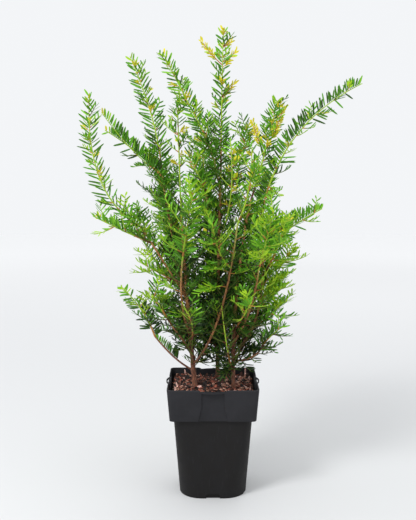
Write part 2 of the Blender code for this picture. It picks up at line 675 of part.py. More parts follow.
def make_masses(parts, lines, surfaces):
    leaders, starts = {}, {}
    for name, carrier, height, middle, tip, _, _ in MASSES:
        limb = lines[carrier]
        foot = limb.at(1.0 if height is None else limb.share_at_height(height))
        leader = Line(foot, middle, tip, LEADER_RADIUS, LEADER_RADIUS * 0.45)
        leaders[name] = [leader]
        starts[name] = seat(leader, surfaces[carrier], LEADER_RADIUS * 1.03)
    for mass, share, tip in MARKED_SHOOTS:
        foot = leaders[mass][0].at(share)
        leaders[mass].append(Line(foot, (foot + Vector(tip)) / 2, tip, SHOOT_RADIUS, SHOOT_RADIUS))
    space = Space(surfaces, leaders)

    for number, (name, _, _, _, _, count, reach) in enumerate(MASSES):
        chance = random.Random(100 + number)
        leader = leaders[name][0]
        shoots = side_lines(name, leader, count, reach, chance, space)
        start = starts[name]
        grown = grow_shoot(leader, start, NEEDLE_SPACING, ALL_ROUND, LEADER_TWIST, needle_length, space, name)
        trunk = mesh_object(name, *grown, parts)
        side_group = new_collection(name + "_shoots", hidden=True)
        for i, line in enumerate(shoots):
            grown = grow_shoot(line, 0.0, SHOOT_SPACING, TWO_RANKS, 0.0, shoot_needle_length, space, name)
            mesh_object(f"{name}_shoot_{i}", *grown, side_group)
        mass = join_shoots(trunk, side_group, parts)
        empty_out(side_group)
        bpy.data.collections.remove(side_group)
        space.taken.append(surface_of(mass))


def main():
    clear_scene()
    parts = new_collection("english_yew")
    tools = new_collection("cutters", hidden=True)
    plastic = material("black_plastic", (0.028, 0.028, 0.031), 0.5)
    filling = material("bark_chips", (0.16, 0.075, 0.045), 0.9)
    bark = material("bark", (0.20, 0.085, 0.045), 0.8)
    foliage = material("needles", (0.07, 0.22, 0.035), 0.5)

    lines, surfaces = {}, {}
    pot = make_pot(parts, tools)
    filled = make_potting_mix(parts)
    surfaces["pot"] = surface_of(pot)
    surfaces["potting_mix"] = surface_of(filled)
    make_stems(parts, lines, surfaces)
    make_boughs(parts, lines, surfaces)
    make_masses(parts, lines, surfaces)
    empty_out(tools)

    for thing in parts.objects:
        if thing.name == "pot":
            finish = plastic
        elif thing.name == "potting_mix":
            finish = filling
        elif thing.name.startswith("foliage"):
            finish = foliage
        else:
            finish = bark
        thing.data.materials.clear()
        thing.data.materials.append(finish)


main()
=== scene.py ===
"""A young English yew with three stems in a square black nursery pot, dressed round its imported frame.

Metres, +Z up, the front towards -Y, as in the frame. Only the tables of limbs, shoots and sprays
are in millimetres. The limbs and the foliage grow by the rule of the part's own source, carried on
to finer twigs and to needles near their real size.
"""

import math
import random

import bmesh
import bpy
import numpy as np
from mathutils import Matrix, Vector, noise
from mathutils.kdtree import KDTree


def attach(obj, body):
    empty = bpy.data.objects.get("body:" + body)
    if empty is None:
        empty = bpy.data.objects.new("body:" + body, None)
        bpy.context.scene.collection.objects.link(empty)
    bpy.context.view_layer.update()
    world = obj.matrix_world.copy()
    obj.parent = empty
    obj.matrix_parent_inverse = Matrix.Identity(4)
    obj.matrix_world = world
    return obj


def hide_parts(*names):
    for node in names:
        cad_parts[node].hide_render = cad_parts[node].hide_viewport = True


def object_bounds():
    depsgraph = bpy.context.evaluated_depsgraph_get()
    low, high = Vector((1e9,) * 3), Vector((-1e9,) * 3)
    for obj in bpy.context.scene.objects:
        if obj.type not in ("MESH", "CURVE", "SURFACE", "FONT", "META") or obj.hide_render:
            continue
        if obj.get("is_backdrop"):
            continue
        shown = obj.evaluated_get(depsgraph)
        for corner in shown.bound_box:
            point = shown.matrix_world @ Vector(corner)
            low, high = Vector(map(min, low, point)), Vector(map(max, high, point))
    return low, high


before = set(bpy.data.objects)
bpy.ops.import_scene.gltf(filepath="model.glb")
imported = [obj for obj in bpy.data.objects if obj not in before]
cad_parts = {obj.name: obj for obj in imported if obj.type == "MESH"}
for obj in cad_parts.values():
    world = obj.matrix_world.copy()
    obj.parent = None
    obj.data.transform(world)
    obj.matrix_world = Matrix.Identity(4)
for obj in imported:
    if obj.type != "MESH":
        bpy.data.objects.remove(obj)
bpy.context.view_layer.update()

# The pot: a thin nursery pot of black polypropylene, moulded in one piece. A body that is square
# above and nearly round at its foot hangs under a deep collar. Each side of the collar has a
# sunk panel for a label with a strap bowed out over it, and each side of the foot a drain notch.
POT_HEIGHT = 0.196
RIM_HALF = 0.0778
COLLAR_FOOT_HALF = 0.0735
COLLAR_FOOT = 0.141
BODY_TOP_HALF = 0.0668
BODY_FOOT_HALF = 0.0580
WALL = 0.0015
FLOOR = 0.002
RIM_CORNER = 0.008
BODY_TOP_CORNER = 0.014
BODY_FOOT_CORNER = 0.039
PANEL_HALF = 0.018
PANEL_SPREAD = 0.024
PANEL_TOP = 0.1905
PANEL_WAIST = 0.166
PANEL_DEPTH = 0.0024
DIP_HALF = 0.0205
DIP_SPREAD = 0.027
DIP_DEPTH = 0.0024
STRAP_HALF = 0.0205
STRAP_REACH = 0.0045
STRAP_WIDTH = 0.0018
STRAP_LOW = 0.1903
STRAP_END = 0.6
STRAP_STEPS = 24
NOTCH_HALF = 0.012
NOTCH_HEIGHT = 0.0085
NOTCH_TOP_HALF = 0.7 * NOTCH_HALF
NOTCH_SHOULDER = 0.6 * NOTCH_HEIGHT
FOOT_EDGE_WIDTH = 0.0008
FOOT_EDGE_HEIGHT = 0.0015
RIM_EDGE_WIDTH = 0.0005
RIM_EDGE_HEIGHT = 0.0006
# The wall behind a panel is thicker by a pad. The plates that cut the panels, dips and notches are
# this thick, and run on past each edge.
PAD_MARGIN = 0.002
PANEL_CUTTER = 0.006
PANEL_FLARE = 0.004
DIP_CUTTER = 0.012
NOTCH_CUTTER = 0.008
OVERRUN = 0.001
COLLAR_LEAN = math.atan((RIM_HALF - COLLAR_FOOT_HALF) / (POT_HEIGHT - COLLAR_FOOT))


class Socket:
    """One output among a material's nodes. An expression on values adds its Math nodes."""

    def __init__(self, tree, output=None):
        self.tree = tree
        self.output = output

    def node(self, kind, settings=None, sockets=None, output=0):
        """Adds a node: its settings are set first, and then its sockets' values or links."""
        added = self.tree.nodes.new("ShaderNode" + kind)
        for name, setting in (settings or {}).items():
            setattr(added, name, setting)
        for name, value in (sockets or {}).items():
            socket = added.inputs[name]
            if isinstance(value, Socket):
                self.tree.links.new(value.output, socket)
            elif socket.type == "RGBA":
                socket.default_value = (*value, 1)
            else:
                socket.default_value = value
        return Socket(self.tree, added.outputs[output])

    def math(self, operation, *values):
        return self.node("Math", {"operation": operation}, dict(enumerate(values)))

    def __add__(self, other):
        return self.math("ADD", self, other)

    def __radd__(self, other):
        return self.math("ADD", other, self)

    def __sub__(self, other):
        return self.math("SUBTRACT", self, other)

    def __rsub__(self, other):
        return self.math("SUBTRACT", other, self)

    def __mul__(self, other):
        return self.math("MULTIPLY", self, other)

    def __rmul__(self, other):
        return self.math("MULTIPLY", other, self)

    def between(self, low, high):
        """0 at low and 1 at high, with a soft step from one to the other."""
        sockets = {"Value": self, "From Min": low, "From Max": high}
        return self.node("MapRange", {"interpolation_type": "SMOOTHSTEP"}, sockets)

    def colours(self, low, high):
        """The colour low where this is 0, and high where it is 1."""
        return self.node("Mix", {"data_type": "RGBA"}, {0: self, 6: low, 7: high}, output=2)

    def stretched(self, along):
        """The place, drawn out so that a pattern runs along Z."""
        return self.node("Mapping", {}, {"Vector": self, "Scale": (1, 1, along)})

    def grain(self, scale, detail):
        return self.node("TexNoise", {}, {"Vector": self, "Scale": scale, "Detail": detail})

    def axis(self, number):
        """The place along X, Y or Z, which are 0, 1 and 2."""
        return self.node("SeparateXYZ", {}, {"Vector": self}, output=number)

    def into(self, shader, name):
        self.tree.links.new(self.output, shader.inputs[name])


def new_finish(name, colour, roughness):
    """A material, its shader, and the place on the plant as a socket. The colour and the roughness
    hold where no nodes are linked to them later."""
    finish = bpy.data.materials.new(name)
    finish.use_nodes = True
    shader = finish.node_tree.nodes["Principled BSDF"]
    shader.inputs["Base Color"].default_value = (*colour, 1)
    shader.inputs["Roughness"].default_value = roughness
    return finish, shader, Socket(finish.node_tree).node("TexCoord", output="Object")


def relief(shader, height, depth):
    """Bumps of a height from 0 to 1 that stand out by a depth in metres."""
    height.node("Bump", {}, {"Height": height, "Distance": depth}).into(shader, "Normal")


def new_piece(name, points, faces, finish, slot, nodes, smooth=True):
    """A mesh that rides on the plant in place of these nodes. The slot is not used."""
    mesh = bpy.data.meshes.new(name)
    mesh.from_pydata(points, [], faces)
    piece = bpy.data.objects.new(name, mesh)
    bpy.context.scene.collection.objects.link(piece)
    mesh.materials.append(finish)
    if smooth:
        mesh.shade_smooth()
    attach(piece, "root")
    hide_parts(*nodes)
    return piece


def rounded_square(half, corner, height, steps=12):
    """The points of a square with rounded corners, anticlockwise from the front's right end."""
    points = []
    for quarter in range(4):
        start = -math.pi / 2 + quarter * math.pi / 2
        centre = Matrix.Rotation(quarter * math.pi / 2, 2) @ Vector((half - corner, corner - half))
        for step in range(steps + 1):
            turn = start + step / steps * math.pi / 2
            points.append((centre.x + corner * math.cos(turn), centre.y + corner * math.sin(turn), height))
    return points


def loft(rings):
    """Joins rings of like count by walls, and closes the first and the last one."""
    count = len(rings[0])
    points = [point for ring in rings for point in ring]
    faces = [tuple(reversed(range(count)))]
    for low in range(0, len(points) - count, count):
        for i in range(count):
            j = (i + 1) % count
            faces.append((low + i, low + j, low + count + j, low + count + i))
    faces.append(tuple(range(len(points) - count, len(points))))
    return points, faces


def helper(points, faces, place=None):
    """A mesh object outside the scene, for a Boolean to read."""
    mesh = bpy.data.meshes.new("helper")
    mesh.from_pydata(points, [], faces)
    if place is not None:
        mesh.transform(place)
    return bpy.data.objects.new("helper", mesh)


def plate(outline, thickness, place, flare=0.0):
    """A flat outline in its own XY plane, thickened both ways along Z, and wider in X by its flare
    on the +Z side, which is the front once the plate is stood upright."""
    count = len(outline)
    points = [(x, y, -thickness / 2) for x, y in outline]
    points += [(x + math.copysign(flare, x), y, thickness / 2) for x, y in outline]
    faces = [tuple(reversed(range(count))), tuple(range(count, 2 * count))]
    for i in range(count):
        j = (i + 1) % count
        faces.append((i, j, count + j, count + i))
    return helper(points, faces, place)


def collar_half(height):
    """Half the collar's outer width at a height."""
    share = (height - COLLAR_FOOT) / (POT_HEIGHT - COLLAR_FOOT)
    return COLLAR_FOOT_HALF + share * (RIM_HALF - COLLAR_FOOT_HALF)


def applied(thing):
    """The object's mesh with its modifiers applied, and its doubled points joined."""
    bpy.context.scene.collection.objects.link(thing)
    bpy.context.view_layer.update()
    mesh = bpy.data.meshes.new_from_object(thing.evaluated_get(bpy.context.evaluated_depsgraph_get()))
    bpy.data.objects.remove(thing)
    shape = bmesh.new()
    shape.from_mesh(mesh)
    bmesh.ops.remove_doubles(shape, verts=shape.verts, dist=2e-6)
    bmesh.ops.dissolve_degenerate(shape, edges=shape.edges, dist=1e-6)
    bmesh.ops.recalc_face_normals(shape, faces=shape.faces)
    shape.to_mesh(mesh)
    shape.free()
    return mesh


def combined(thing, tools, operation):
    """The object joined with the tools, or cut by them."""
    group = bpy.data.collections.new("tools")
    for tool in tools:
        group.objects.link(tool)
    modifier = thing.modifiers.new("combine", "BOOLEAN")
    modifier.operation = operation
    modifier.operand_type = "COLLECTION"
    modifier.collection = group
    mesh = applied(thing)
    for tool in tools:
        bpy.data.objects.remove(tool)
    bpy.data.collections.remove(group)
    return bpy.data.objects.new("combined", mesh)


pads = []
cutters = []
pad_half = PANEL_SPREAD + PAD_MARGIN
pad_height = PANEL_TOP + PAD_MARGIN - COLLAR_FOOT
pad_outline = [(-pad_half, 0), (pad_half, 0), (pad_half, pad_height), (-pad_half, pad_height)]
strap_outline = []
for trim, order in ((0, 1), (-STRAP_WIDTH, -1)):
    arc = []
    for step in range(STRAP_STEPS + 1):
        across = 2 * step / STRAP_STEPS - 1
        reach = (STRAP_REACH + WALL / 2 + trim) * (1 - across**2)
        arc.append((across * (STRAP_HALF + STRAP_END * trim), -reach))
    strap_outline += arc[::order]
panel_outline = [(-PANEL_HALF, PANEL_TOP - COLLAR_FOOT), (-PANEL_HALF, PANEL_WAIST - COLLAR_FOOT)]
panel_outline += [(-PANEL_SPREAD, 0), (-PANEL_SPREAD, -3 * OVERRUN)]
panel_outline += [(PANEL_SPREAD, -3 * OVERRUN), (PANEL_SPREAD, 0)]
panel_outline += [(PANEL_HALF, PANEL_WAIST - COLLAR_FOOT), (PANEL_HALF, PANEL_TOP - COLLAR_FOOT)]
dip_outline = [(-DIP_SPREAD, OVERRUN), (-DIP_HALF, -DIP_DEPTH)]
dip_outline += [(DIP_HALF, -DIP_DEPTH), (DIP_SPREAD, OVERRUN)]
notch_outline = [(-NOTCH_HALF, -OVERRUN), (NOTCH_HALF, -OVERRUN), (NOTCH_HALF, NOTCH_SHOULDER)]
notch_outline += [(NOTCH_TOP_HALF, NOTCH_HEIGHT), (-NOTCH_TOP_HALF, NOTCH_HEIGHT)]
notch_outline += [(-NOTCH_HALF, NOTCH_SHOULDER)]
upright = Matrix.Rotation(math.pi / 2, 4, "X")
lean = Matrix.Rotation(COLLAR_LEAN, 4, "X")
for side in range(4):
    facing = Matrix.Rotation(side * math.pi / 2, 4, "Z")
    place = Matrix.Translation((0, -COLLAR_FOOT_HALF + WALL / 2 + PANEL_DEPTH / 2, COLLAR_FOOT))
    pads.append(plate(pad_outline, PANEL_DEPTH, facing @ place @ lean @ upright))
    height = (POT_HEIGHT - DIP_DEPTH + STRAP_LOW) / 2
    place = Matrix.Translation((0, -collar_half(height) + WALL / 2, height))
    pads.append(plate(strap_outline, POT_HEIGHT - DIP_DEPTH - STRAP_LOW, facing @ place))
    place = Matrix.Translation((0, -COLLAR_FOOT_HALF + PANEL_DEPTH - PANEL_CUTTER / 2, COLLAR_FOOT))
    cutters.append(plate(panel_outline, PANEL_CUTTER, facing @ place @ lean @ upright, PANEL_FLARE))
    place = Matrix.Translation((0, -BODY_FOOT_HALF, 0))
    cutters.append(plate(notch_outline, NOTCH_CUTTER, facing @ place @ upright))
    place = Matrix.Translation((0, -RIM_HALF, POT_HEIGHT))
    cutters.append(plate(dip_outline, DIP_CUTTER, facing @ place @ upright))
shell = helper(*loft([
    rounded_square(BODY_FOOT_HALF - FOOT_EDGE_WIDTH, BODY_FOOT_CORNER, 0),
    rounded_square(BODY_FOOT_HALF, BODY_FOOT_CORNER, FOOT_EDGE_HEIGHT),
    rounded_square(BODY_TOP_HALF, BODY_TOP_CORNER, COLLAR_FOOT),
    rounded_square(COLLAR_FOOT_HALF, RIM_CORNER, COLLAR_FOOT),
    rounded_square(RIM_HALF, RIM_CORNER, POT_HEIGHT - RIM_EDGE_HEIGHT),
    rounded_square(RIM_HALF - RIM_EDGE_WIDTH, RIM_CORNER, POT_HEIGHT),
    rounded_square(RIM_HALF - WALL, RIM_CORNER, POT_HEIGHT),
    rounded_square(COLLAR_FOOT_HALF - WALL, RIM_CORNER, COLLAR_FOOT + WALL),
    rounded_square(BODY_TOP_HALF - WALL, BODY_TOP_CORNER, COLLAR_FOOT + WALL),
    rounded_square(BODY_FOOT_HALF - WALL, BODY_FOOT_CORNER - WALL, FLOOR),
]))
shell = combined(shell, pads, "UNION")
shell = combined(shell, cutters, "DIFFERENCE")
rounding = shell.modifiers.new("rounding", "BEVEL")
rounding.width = 0.0004
rounding.segments = 2
rounding.limit_method = "ANGLE"
rounding.angle_limit = math.radians(35)
mesh = applied(shell)

# Dull black plastic: a moulded sheen with scuffs, dust, dried splashes of mix, and a painted
# highlight along the rim. The collar is a little paler and bluer than the body.
BODY_BLACK = (0.0120, 0.0111, 0.0110)
COLLAR_BLACK = (0.0210, 0.0209, 0.0241)
DUSTY_BLACK = (0.0172, 0.0172, 0.0188)
SCUFFED_BLACK = (0.0254, 0.0254, 0.0271)
DRIED_MIX = (0.0337, 0.0249, 0.0183)
RIM_HIGHLIGHT_BLACK = (0.0419, 0.0419, 0.0458)
plastic, shader, place = new_finish("black_polypropylene", (0.010, 0.010, 0.012), 0.5)
shader.inputs["Specular IOR Level"].default_value = 0.16
height = place.axis(2)
mottle = place.grain(45, 5).between(0.35, 0.65)
scuffs = place.stretched(0.12).grain(420, 2).between(0.60, 0.72)
splashes = place.grain(190, 4).between(0.66, 0.74) * height.between(0.02, 0.19)
collar = height.between(COLLAR_FOOT - 0.002, COLLAR_FOOT + 0.002)
# A painted highlight: the top of the rim is lighter.
rim = height.between(POT_HEIGHT - 0.0020, POT_HEIGHT - 0.0004)
colour = collar.colours(BODY_BLACK, COLLAR_BLACK)
colour = (mottle * 0.35).colours(colour, DUSTY_BLACK)
colour = (scuffs * 0.30).colours(colour, SCUFFED_BLACK)
colour = (splashes * 0.35).colours(colour, DRIED_MIX)
colour = (rim * 0.5).colours(colour, RIM_HIGHLIGHT_BLACK)
colour.into(shader, "Base Color")
(0.61 + mottle * 0.10 + splashes * 0.2).into(shader, "Roughness")
relief(shader, place.grain(900, 2), 0.00006)
points = [vertex.co.copy() for vertex in mesh.vertices]
faces = [tuple(face.vertices) for face in mesh.polygons]
pot = new_piece("nursery_pot", points, faces, plastic, "black_plastic", ["pot"])
pot.data.set_sharp_from_angle(angle=math.radians(28))

# The potting mix: composted bark, dark and crumbly, filled to just under the rim. This is the bed,
# whose top is a surface of lumps and crumbs, so many to a metre. The loose chips on it come next.
MIX_TOP = 0.184
MIX_COLLAR_HALF = 0.0695
MIX_TOP_HALF = 0.0711
GAP = 0.0003
BED_DEPTH = 0.0035
BED_DROP_AT_WALL = 0.002
BED_MIDDLE_HALF = 0.0006
BED_RINGS = 30
LUMPS = 90
CRUMBS = 260
CRUMB_HEIGHT = 0.0022
clear = WALL + GAP
bed = [
    rounded_square(BODY_FOOT_HALF - clear, BODY_FOOT_CORNER - WALL, FLOOR + GAP),
    rounded_square(BODY_TOP_HALF - clear, BODY_TOP_CORNER, COLLAR_FOOT + WALL + GAP),
    rounded_square(MIX_COLLAR_HALF, RIM_CORNER, COLLAR_FOOT + WALL + GAP),
]
for step in range(BED_RINGS):
    half = MIX_TOP_HALF * (1 - step / BED_RINGS) + BED_MIDDLE_HALF
    drop = BED_DEPTH if step else BED_DEPTH + BED_DROP_AT_WALL
    ring = []
    for x, y, _ in rounded_square(half, min(RIM_CORNER, half / 2), 0):
        crumb = noise.noise(Vector((x, y, 0)) * LUMPS) + 0.5 * noise.noise(Vector((x, y, 0.3)) * CRUMBS)
        ring.append((x, y, MIX_TOP - drop + CRUMB_HEIGHT * crumb))
    bed.append(ring)
MOIST_BARK = (0.012, 0.007, 0.005)
DRY_BARK = (0.075, 0.038, 0.026)
BARK_IN_PAINTED_SHADE = (0.002, 0.0015, 0.001)
compost, shader, place = new_finish("composted_bark", (0.035, 0.018, 0.012), 0.95)
crumbs = place.grain(420, 6)
colour = crumbs.between(0.35, 0.7).colours(MOIST_BARK, DRY_BARK)
# Painted shade: the mix darkens to nearly black low down inside the pot, below the collar's foot.
place.axis(2).between(0.13, 0.16).colours(BARK_IN_PAINTED_SHADE, colour).into(shader, "Base Color")
relief(shader, crumbs, 0.0009)
new_piece("mix_bed", *loft(bed), compost, "bark_chips", ["potting_mix"])

# The chips: shredded pine bark and a little pale wood, flat shards that lie at all angles, some
# on edge against the wall. Each colour of chip is one joined piece.
# The piece for the chips of one colour, that colour, and how many of 27 chips have it.
CHIPS = (
    ("chips_dark", (0.008, 0.003, 0.002), 10),
    ("chips_brown", (0.080, 0.025, 0.015), 6),
    ("chips_red", (0.300, 0.080, 0.046), 6),
    ("chips_tan", (0.50, 0.255, 0.175), 4),
    ("chips_pale", (0.78, 0.48, 0.41), 1),
)
CHIP_DUST = (0.020, 0.015, 0.012)
CHIP_COUNT = 1900
CHIP_SPREAD = 0.069
CHIP_ROOM = 0.0722
CHIP_SINK = 0.003
# The shortest, the longest and the usual chip, and the thinnest and the thickest one.
CHIP_LENGTHS = (0.004, 0.018, 0.006)
CHIP_THICKNESSES = (0.0008, 0.0022)
# A chip's levels as shares of its thickness, and the size of its outline there.
CHIP_LEVELS = ((-0.5, 0.86), (0.0, 1.0), (0.5, 0.84))
chips = {name: ([], []) for name, _, _ in CHIPS}
deal = [name for name, _, share in CHIPS for _ in range(share)]
chance = random.Random(40)


def add_chip(name, centre, long, wide, thick, turn, tilt, roll):
    """One shard: a ragged outline, drawn out along the grain, with worn edges."""
    points, faces = chips[name]
    place = Matrix.Translation(centre) @ Matrix.Rotation(turn, 4, "Z")
    place = place @ Matrix.Rotation(tilt, 4, "Y") @ Matrix.Rotation(roll, 4, "X")
    count = chance.randint(6, 8)
    low = len(points)
    outline = []
    for i in range(count):
        angle = 2 * math.pi * (i + chance.uniform(-0.3, 0.3)) / count
        ragged = chance.uniform(0.75, 1.1)
        outline.append((math.cos(angle) * long / 2 * ragged, math.sin(angle) * wide / 2 * ragged))
    bow = chance.uniform(-0.12, 0.12) / long
    for level, inset in CHIP_LEVELS:
        for x, y in outline:
            lump = chance.uniform(-0.15, 0.15) * thick
            points.append(place @ Vector((x * inset, y * inset, level * thick + bow * x * x * 4 + lump)))
    faces.append(tuple(reversed(range(low, low + count))))
    faces.append(tuple(range(low + 2 * count, low + 3 * count)))
    for ring in (low, low + count):
        for i in range(count):
            j = (i + 1) % count
            faces.append((ring + i, ring + j, ring + count + j, ring + count + i))


for _ in range(CHIP_COUNT):
    x, y = chance.uniform(-CHIP_SPREAD, CHIP_SPREAD), chance.uniform(-CHIP_SPREAD, CHIP_SPREAD)
    name = chance.choice(deal)
    long = chance.triangular(*CHIP_LENGTHS)
    wide = long * chance.uniform(0.25, 0.58)
    steep = chance.gauss(0, 0.30)
    turn = chance.uniform(0, math.pi)
    room = CHIP_ROOM - long / 2
    x, y = max(-room, min(room, x)), max(-room, min(room, y))
    z = MIX_TOP - CHIP_SINK + chance.uniform(0, 0.0035) + abs(math.sin(steep)) * long * 0.3
    thick = chance.uniform(*CHIP_THICKNESSES)
    add_chip(name, (x, y, z), long, wide, thick, turn, steep, chance.gauss(0, 0.35))
# Pale shards that stand on end by the walls, as x, y, the height of the middle, length and lean.
SHARDS = (
    (-0.064, -0.050, 0.1890, 0.018, 1.30),
    (-0.062, -0.020, 0.1880, 0.016, 1.15),
    (0.060, 0.056, 0.1920, 0.020, 1.45),
    (0.066, 0.030, 0.1880, 0.015, 1.20),
    (-0.050, 0.062, 0.1885, 0.016, 1.10),
    (0.064, -0.040, 0.1865, 0.013, 1.00),
)
SHARD_WIDTH = 0.0035
SHARD_THICKNESS = 0.0014
for x, y, z, long, tilt in SHARDS:
    add_chip("chips_pale", (x, y, z), long, SHARD_WIDTH, SHARD_THICKNESS, 0.3 + 20 * x, tilt, 0.2)
for name, colour, _ in CHIPS:
    finish, shader, place = new_finish(name + "_bark", colour, 0.88)
    fibre = place.grain(500, 4)
    damp = [0.6 * part for part in colour]
    worn = [1.5 * part + dust for part, dust in zip(colour, CHIP_DUST)]
    fibre.between(0.4, 0.7).colours(damp, worn).into(shader, "Base Color")
    relief(shader, fibre, 0.0005)
    new_piece(name, *chips[name], finish, "bark_chips", ["potting_mix"], smooth=False)

# The stems and boughs: three stems stand in the mix and part into thin boughs, with red-brown
# bark that flakes lengthways, a flare at the soil, a collar at each fork, and green wood above.
# A limb: its name, what carries it and how high up that, a point halfway, its tip, and its
# radius at the foot and at the tip, all in millimetres. A stem has the place where it stands instead.
STEMS = (
    ("stem_left", (-31, -6), (-43, -2, 318), (-54, 4, 470), 4.0, 1.9),
    ("stem_right", (36, -19), (41, -10, 345), (66, 8, 510), 3.4, 1.9),
    ("stem_back", (9, 47), (10, 32, 375), (14, 12, 560), 3.6, 1.8),
)
BOUGHS = (
    ("bough_far_left", "stem_left", 335, (-86, -20, 408), (-123, -30, 467), 1.9, 1.5),
    ("bough_upper_left", "stem_left", 325, (-70, 12, 445), (-89, 28, 556), 2.3, 1.6),
    ("bough_low_left", "stem_left", 212, (-66, -12, 236), (-100, -22, 276), 1.8, 1.3),
    ("bough_mid_left", "stem_left", 245, (-52, -22, 270), (-70, -30, 296), 1.8, 1.4),
    ("bough_front", "stem_left", 222, (11, -46, 318), (40, -64, 472), 2.0, 1.4),
    ("bough_upper_right", "stem_right", 243, (81, -6, 330), (82, 10, 470), 2.4, 1.7),
    ("bough_low_right", "stem_right", 232, (60, -26, 238), (78, -30, 250), 1.7, 1.4),
    ("bough_inner", "stem_back", 430, (-4, 12, 478), (-13, 0, 526), 1.8, 1.4),
    ("bough_top_left", "stem_back", 520, (3, 3, 574), (-14, -5, 622), 1.6, 1.3),
    ("bough_back_left", "stem_back", 235, (-22, 78, 300), (-52, 98, 370), 2.1, 1.5),
    ("bough_back_right", "stem_back", 245, (44, 84, 320), (68, 116, 400), 2.1, 1.5),
    ("bough_back", "stem_back", 330, (4, 72, 410), (-8, 100, 490), 1.9, 1.4),
    ("bough_front_left", "stem_left", 270, (-52, -50, 340), (-50, -84, 415), 1.9, 1.4),
    ("bough_front_right", "stem_right", 262, (62, -54, 330), (74, -86, 400), 1.9, 1.4),
)
MM = 1000
UP = Vector((0, 0, 1))
BACK = Vector((0, 1, 0))
LINE_STEPS = 16
STEM_SINK = 0.0047
# How far a bough's collar and a stem's foot stand out, and how far along the limb each reaches.
FORK_COLLAR = 0.0007
FORK_COLLAR_REACH = 0.005
ROOT_FLARE = 0.0022
ROOT_RIDGES = 0.0008
ROOT_FLARE_REACH = 0.007
BARK_STEP = 0.0022
STEM_SIDES = 20
BOUGH_SIDES = 14


def metres(measures):
    """A point that is given in millimetres."""
    return Vector([measure / MM for measure in measures])


class Line:
    """A line that bends once, from a foot through a middle point to a tip, and tapers."""

    def __init__(self, foot, middle, tip, foot_radius, tip_radius):
        self.foot, self.tip = Vector(foot), Vector(tip)
        self.handle = 2 * Vector(middle) - (self.foot + self.tip) / 2
        self.foot_radius, self.tip_radius = foot_radius, tip_radius
        steps = [self.at(i / LINE_STEPS) for i in range(LINE_STEPS + 1)]
        self.length = sum((b - a).length for a, b in zip(steps, steps[1:]))
        # The line lies in one plane, so a direction square to that plane never turns round it.
        self.square = (self.handle - self.foot).cross(self.tip - self.handle)
        if self.square.length < 1e-7:
            self.square = self.heading(0.5).cross(Vector((0.3, 1, 0.1)))
        self.square.normalize()

    def at(self, share):
        rest = 1 - share
        return rest * rest * self.foot + 2 * rest * share * self.handle + share * share * self.tip

    def heading(self, share):
        return ((1 - share) * (self.handle - self.foot) + share * (self.tip - self.handle)).normalized()

    def radius(self, share):
        return self.foot_radius + share * (self.tip_radius - self.foot_radius)

    def share_at_height(self, height):
        """How far along the line is at this height, found by halving what is left."""
        low, high = 0.0, 1.0
        for _ in range(30):
            middle = (low + high) / 2
            if self.at(middle).z < height:
                low = middle
            else:
                high = middle
        return low

    def across(self, share, turn=0.0):
        """Two directions square to the line, the first one level before it is turned."""
        ahead = self.heading(share)
        side = ahead.cross(UP)
        if side.length < 0.05:
            side = ahead.cross(BACK)
        side.normalize()
        over = side.cross(ahead)
        return (
            math.cos(turn) * side + math.sin(turn) * over,
            math.cos(turn) * over - math.sin(turn) * side,
        )

    def outward(self, share, turn):
        """A direction square to the line, turned round it from the plane that it lies in."""
        over = self.square.cross(self.heading(share))
        return math.cos(turn) * self.square + math.sin(turn) * over


def tube(line, shares, sides, radius_at):
    """A tube along the line, with a pointed end. radius_at(share, turn) gives its radius."""
    points = []
    for share in shares:
        for i in range(sides):
            turn = 2 * math.pi * i / sides
            points.append(line.at(share) + radius_at(share, turn) * line.outward(share, turn))
    faces = []
    for low in range(0, len(points) - sides, sides):
        for i in range(sides):
            j = (i + 1) % sides
            faces.append((low + i, low + j, low + sides + j, low + sides + i))
    last = len(points) - sides
    points.append(line.at(shares[-1]) + line.heading(shares[-1]) * line.radius(shares[-1]))
    faces += [(last + i, last + (i + 1) % sides, len(points) - 1) for i in range(sides)]
    return points, faces


lines = {}
for name, (x, y), middle, tip, foot_radius, tip_radius in STEMS:
    foot = (x / MM, y / MM, MIX_TOP - STEM_SINK)
    lines[name] = Line(foot, metres(middle), metres(tip), foot_radius / MM, tip_radius / MM)
for name, carrier, height, middle, tip, foot_radius, tip_radius in BOUGHS:
    foot = lines[carrier].at(lines[carrier].share_at_height(height / MM))
    lines[name] = Line(foot, metres(middle), metres(tip), foot_radius / MM, tip_radius / MM)

# The bark is red-brown on old wood and orange on ripened wood, and there is a lime green rind on
# young wood, which is the high and the front part. Each has the colours of its furrows and ridges.
OLD_BARK = ((0.075, 0.028, 0.017), (0.300, 0.112, 0.056))
RIPE_BARK = ((0.34, 0.140, 0.050), (0.62, 0.300, 0.10))
YOUNG_RIND = ((0.30, 0.38, 0.060), (0.60, 0.58, 0.140))
BARK_FLAKE = (0.30, 0.165, 0.115)
bark, shader, place = new_finish("yew_bark", (0.16, 0.07, 0.04), 0.8)
streaks = place.stretched(0.18).grain(900, 4)
flakes = place.stretched(0.35).grain(380, 3).between(0.52, 0.62)
colour = streaks.between(0.35, 0.68).colours(*OLD_BARK)
colour = (flakes * 0.55).colours(colour, BARK_FLAKE)
young = place.axis(2) - place.axis(1) * 1.3 + place.grain(28, 2) * 0.10
orange = streaks.between(0.3, 0.7).colours(*RIPE_BARK)
colour = (young.between(0.31, 0.40) * 0.8).colours(colour, orange)
lime = streaks.between(0.3, 0.7).colours(*YOUNG_RIND)
colour = (young.between(0.52, 0.60) * 0.85).colours(colour, lime)
colour.into(shader, "Base Color")
relief(shader, streaks + flakes, 0.0004)
